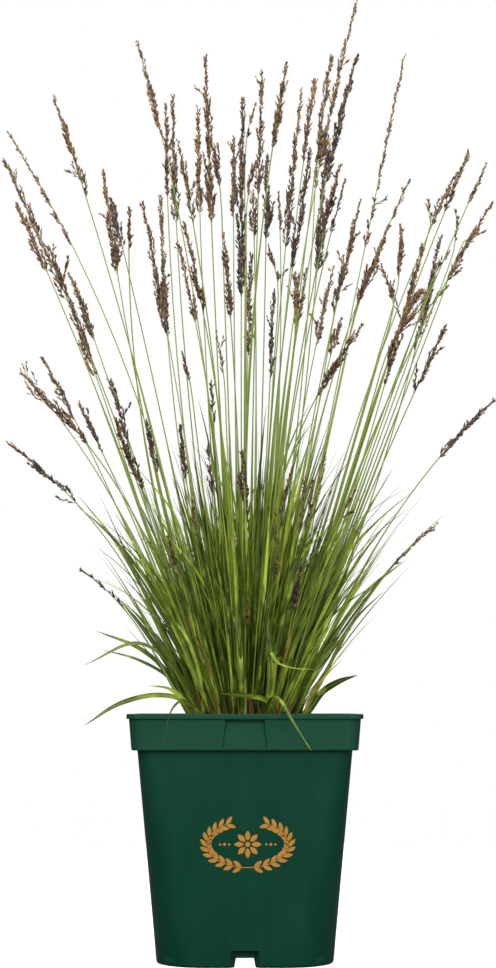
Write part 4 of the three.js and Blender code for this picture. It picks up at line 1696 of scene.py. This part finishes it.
def leaf_tone(chance):
    """Mostly middle greens, some bright and dark, a few yellow, orange and red."""
    if chance.random() < DRY_LEAF_CHANCE:
        return chance.uniform(0.94, 1.0)
    return min(0.92, max(0.0, chance.gauss(0.46, 0.36)))


def random_turns(chance):
    start = chance.uniform(-1.6, 1.6)
    return start, start + chance.uniform(-2.6, 2.6)


def leaf_build(settings, chance):
    """A blade's width and its share of the full reach: most are narrow, and those are shorter."""
    size = chance.random()
    return settings.leaf_width * (0.42 + 1.15 * size**2.4), 0.72 + 0.38 * size


def blade_object(strands, name, settings):
    values = {
        "Thickness": settings.leaf_thickness / settings.leaf_width, "Fold": 0.28,
        "Material": material_once(leaf_green, settings),
    }
    return grow_strands(strands, blade_tree(), values, name)


def tiller_blades(strands, points, settings, chance):
    """The blades of one shoot: they follow its stem, then part from it."""
    heading = unit(points[3] - points[0])
    lean = math.degrees(math.acos(min(1, heading[2])))
    heading = unit(heading + np.array((0, 0, 0.22)))
    outward = unit(points[len(points) // 2] * (1, 1, 0))
    for _ in range(max(2, round(SHOOT_BLADES - lean * FEWER_PER_DEGREE))):
        spin = chance.uniform(0, 2 * math.pi)
        sideways = np.array((math.cos(spin), math.sin(spin), 0))
        away = unit(sideways + outward * chance.choice((0.0, 0.6, 1.0)))
        foot = points[0] * FOOT_DRAW_IN + sideways * chance.uniform(*SHOOT_GAPS) * MM
        foot[2] = crown_height(math.hypot(foot[0], foot[1])) - BLADE_SINK
        width, share = leaf_build(settings, chance)
        reach = min(length_of(points) * 0.8, chance.triangular(*SHOOT_REACH))
        reach = reach * (1 - lean / FLAT_DEGREES) * share
        aim = unit(heading + sideways * (chance.uniform(0.0, 0.08) if chance.random() < 0.55 else 0.18))
        bend = chance.uniform(0.0, 0.25) if chance.random() < 0.7 else chance.uniform(0.25, 0.8)
        sag = chance.uniform(0, 0.12) if bend < 0.25 else chance.uniform(0.1, 0.6)
        line = free_blade(foot, aim, away, reach, bend, sag)
        lay_blade(strands, line, width, leaf_tone(chance), random_turns(chance))


def edge_blades(strands, count, settings, chance):
    """Shorter blades from the whole tussock, the outer ones leaning out."""
    for _ in range(count):
        spin = chance.uniform(0, 2 * math.pi)
        radius = TUSSOCK_SPREAD * math.sqrt(chance.random())
        outward = np.array((math.cos(spin), math.sin(spin), 0))
        foot = outward * radius
        foot[2] = crown_height(radius) - BLADE_SINK
        lean = 0.06 + 0.56 * (radius / TUSSOCK_SPREAD) ** 1.5 * chance.uniform(0.4, 1.2)
        aim = unit(np.array((0, 0, 1)) + outward * lean)
        width, share = leaf_build(settings, chance)
        reach = chance.triangular(*EDGE_REACH) * share
        bend, sag = chance.uniform(0.0, 0.35), chance.uniform(0.0, 0.3)
        line = free_blade(foot, aim, outward, reach, bend, sag)
        tone = leaf_tone(chance) * 0.9
        lay_blade(strands, line, width, tone, random_turns(chance))


class MOORGRASS_OT_leaves(bpy.types.Operator):
    """Make the upright leaf blades of every shoot"""

    bl_idname = "moorgrass.leaves"
    bl_label = "Leaves"

    def execute(self, context):
        settings = context.scene.moorgrass_plant
        chance = random.Random(settings.seed + 101)
        halves = {"leaves_left": Strands(), "leaves_right": Strands()}
        for _, points, *_ in all_stems():
            side = "leaves_left" if points[-1][0] < 0 else "leaves_right"
            tiller_blades(halves[side], points, settings, chance)
        edge = Strands()
        edge_blades(edge, EDGE_BLADES, settings, chance)
        halves["leaves_low"] = edge
        for name, strands in halves.items():
            hand_over(blade_object(strands, name, settings), "leaf")
        return {"FINISHED"}


# The arching leaves, in the frame's order: width in millimetres, tone, and the turns of
# the blade's face at its foot and at its tip away from the reference view.
ARCHING_LEAVES = (
    (3.4, 0.45, 0.4, 0.1), (2.8, 0.4, 0.6, 0.3), (2.6, 0.25, 0.4, 0.8), (3.6, 0.42, 0.1, 0.4),
    (2.6, 0.35, 0.4, 1.0), (2.9, 0.34, 0.7, 0.2), (4.4, 0.4, 0.1, 0.2), (4.2, 0.7, 0.3, 0.1),
    (3.4, 0.55, 0.5, 0.2), (3.0, 0.5, 0.9, 0.4), (5.0, 0.15, 0.0, 0.2), (3.2, 0.5, 0.8, 0.2),
    (3.2, 0.58, 0.3, 0.9), (3.2, 0.45, 0.7, 0.3), (3.0, 0.3, 0.2, 0.8),
)
ARCHING_FULL_SHARE = 0.6
ARCHING_POINTS = 30
STRAY_POINTS = 24
STRAY_TURNS = (0.5, 0.1)

# More leaves that stand out from the rest: the foot's x and y in millimetres, the points
# on the way (x and z on the upright sheet, and how far behind it), width and tone.
STRAY_LEAVES = (
    ((-38, -34), ((-46, 190, -60), (-58, 199, -66), (-72, 201, -70)), 3.6, 0.7),
    ((36, -20), ((58, 240, -30), (76, 272, -34), (94, 291, -36)), 2.8, 0.3),
    ((34, -30), ((60, 222, -44), (72, 236, -48), (83, 246, -52)), 2.8, 0.45),
    ((40, -22), ((54, 200, -40), (64, 212, -42), (73, 220, -44)), 2.4, 0.95),
    ((10, -20), ((20, 320, -40), (36, 378, -46), (56, 408, -50)), 2.8, 0.5),
    ((-24, -24), ((-40, 280, -50), (-55, 332, -56), (-82, 366, -60)), 3.0, 0.55),
    ((-2, -36), ((-3, 202, -56), (-6, 244, -66), (-24, 283, -72)), 3.4, 0.3),
    (
        (16, -30),
        ((18, 205, -54), (20, 226, -60), (24, 219, -66), (34, 215, -70), (53, 213, -72)), 3.4, 0.5,
    ),
    ((12, -34), ((20, 224, -58), (17, 244, -62), (13, 284, -66)), 4.2, 0.38),
    ((-30, -30), ((-36, 215, -52), (-46, 240, -58), (-66, 262, -62)), 2.6, 0.62),
    ((22, -32), ((30, 222, -54), (35, 240, -60), (40, 256, -64)), 1.3, 0.985),
    ((-20, -32), ((-30, 222, -54), (-42, 246, -62), (-50, 262, -66)), 1.2, 1.0),
)


class MOORGRASS_OT_arching_leaves(bpy.types.Operator):
    """Make the arching leaves that stand in the frame's places"""

    bl_idname = "moorgrass.arching_leaves"
    bl_label = "Arching leaves"

    def execute(self, context):
        settings = context.scene.moorgrass_plant
        for node, (width, tone, *turns) in zip(LEAF_NODES, ARCHING_LEAVES):
            centres, _ = sections(node, LEAF_NODE_SIDES)
            strands = Strands()
            line = drawn_in(smooth(centres, ARCHING_POINTS))
            line[0, 2] -= ROOT_DEPTH
            facing = np.cross(line[1] - line[0], (0, 1, 0))
            lay_blade(strands, line, width * MM, tone, turns, facing, ARCHING_FULL_SHARE)
            hand_over(blade_object(strands, "arching_" + node, settings), "leaf", node)
        strays = Strands()
        for (x, y), way, width, tone in STRAY_LEAVES:
            foot = (x * MM, y * MM, crown_height(math.hypot(x, y) * MM) - BLADE_SINK)
            points = [foot] + [along_sight(a * MM, z * MM, back * MM) for a, z, back in way]
            line = smooth(points, STRAY_POINTS)
            facing = np.cross(line[1] - line[0], (0, 1, 0))
            lay_blade(strays, line, width * MM, tone, STRAY_TURNS, facing)
        hand_over(blade_object(strays, "stray_leaves", settings), "leaf")
        return {"FINISHED"}


FLOOR_RADIUS = 1.3
PLANT_MIDDLE = (0, 0, 0.35)
BASE_LAMP_HEIGHT = 6 * MM
CLIP = (0.05, 100)

# Each lamp's place and size. They all look at the middle of the plant.
LAMPS = {
    "key": ((-0.9, -2.5, 1.7), (1.2, 1.6)),
    "back": ((0.5, 2.3, 1.3), (1.4, 1.4)),
    "fill": ((1.1, -2.3, 0.9), (1.2, 1.8)),
    "top": ((0, 0.1, 2.6), (3.4, 3.4)),
}


def area_lamp(name, location, target, size, power):
    """A soft rectangular lamp that the camera doesn't see."""
    data = bpy.data.lights.new(name, "AREA")
    data.shape = "RECTANGLE"
    data.size, data.size_y = size
    data.energy = power
    lamp = bpy.data.objects.new(name, data)
    lamp.location = location
    lamp.rotation_euler = (Vector(target) - Vector(location)).to_track_quat("-Z", "Y").to_euler()
    lamp.visible_camera = False
    bpy.context.scene.collection.objects.link(lamp)


class MOORGRASS_OT_stage(bpy.types.Operator):
    """Set up the floor, the lamps and the camera"""

    bl_idname = "moorgrass.stage"
    bl_label = "Stage"

    def execute(self, context):
        settings = context.scene.moorgrass_stage
        scene = context.scene
        edit = bmesh.new()
        bmesh.ops.create_circle(edit, cap_ends=True, segments=96, radius=FLOOR_RADIUS)
        floor = new_piece("floor", edit, material_once(studio_floor, settings))
        for name, (spot, size) in LAMPS.items():
            power = getattr(settings, name + "_power")
            area_lamp(name + "_lamp", spot, PLANT_MIDDLE, size, power)
        below = 1.8 * BASE_HALF * MM
        spot = (0, 0, BASE_LAMP_HEIGHT)
        area_lamp("base_lamp", spot, (0, 0, 0), (below, below), settings.base_power)
        world = bpy.data.worlds.new("even_light")
        world.use_nodes = True
        tree = world.node_tree
        sky = tree.nodes["Background"]
        sky.inputs["Color"].default_value = (1, 1, 1, 1)
        upward = component(tree, out(place(tree, "ShaderNodeTexCoord"), "Generated"), "Z")
        glow = rescale(tree, upward, 0.0, 0.7, settings.haze, settings.sky)
        seen = out(place(tree, "ShaderNodeLightPath"), "Is Camera Ray")
        tree.links.new(rescale(tree, seen, 0.0, 1.0, glow, 1.0), sky.inputs["Strength"])
        scene.world = world
        scene.view_settings.view_transform = "Standard"
        data = bpy.data.cameras.new("camera")
        data.sensor_width = SENSOR
        data.lens = SENSOR * FOCAL_PIXELS / IMAGE_HEIGHT
        data.clip_start, data.clip_end = CLIP
        camera = bpy.data.objects.new("camera", data)
        camera.location = CAMERA
        camera.rotation_euler = (math.pi / 2 + LOOK_UP, 0, 0)
        scene.collection.objects.link(camera)
        scene.camera = camera
        return {"FINISHED"}


OPERATORS = (
    MOORGRASS_OT_stage, MOORGRASS_OT_pot, MOORGRASS_OT_print, MOORGRASS_OT_soil,
    MOORGRASS_OT_tussock, MOORGRASS_OT_stems, MOORGRASS_OT_leaves, MOORGRASS_OT_arching_leaves,
)


class MOORGRASS_PT_panel(bpy.types.Panel):
    """Lists the settings and the operators"""

    bl_idname = "MOORGRASS_PT_panel"
    bl_label = "Potted Moor Grass"
    bl_space_type = "VIEW_3D"
    bl_region_type = "UI"
    bl_category = "Moor Grass"

    def draw(self, context):
        for name in ("moorgrass_pot", "moorgrass_plant", "moorgrass_stage"):
            group = getattr(context.scene, name)
            box = self.layout.box()
            for setting in group.__annotations__:
                box.prop(group, setting)
        for operator in OPERATORS:
            self.layout.operator(operator.bl_idname)


SETTINGS = {
    "moorgrass_pot": PotSettings,
    "moorgrass_plant": PlantSettings,
    "moorgrass_stage": StageSettings,
}


def register():
    for group in (*SETTINGS.values(), *OPERATORS, MOORGRASS_PT_panel):
        bpy.utils.register_class(group)
    for name, group in SETTINGS.items():
        setattr(bpy.types.Scene, name, PointerProperty(type=group))


def unregister():
    for name in SETTINGS:
        delattr(bpy.types.Scene, name)
    for group in (MOORGRASS_PT_panel, *reversed(OPERATORS), *SETTINGS.values()):
        bpy.utils.unregister_class(group)


def main():
    register()
    for operator in OPERATORS:
        family, name = operator.bl_idname.split(".")
        getattr(getattr(bpy.ops, family), name)()


if __name__ == "__main__":
    main()
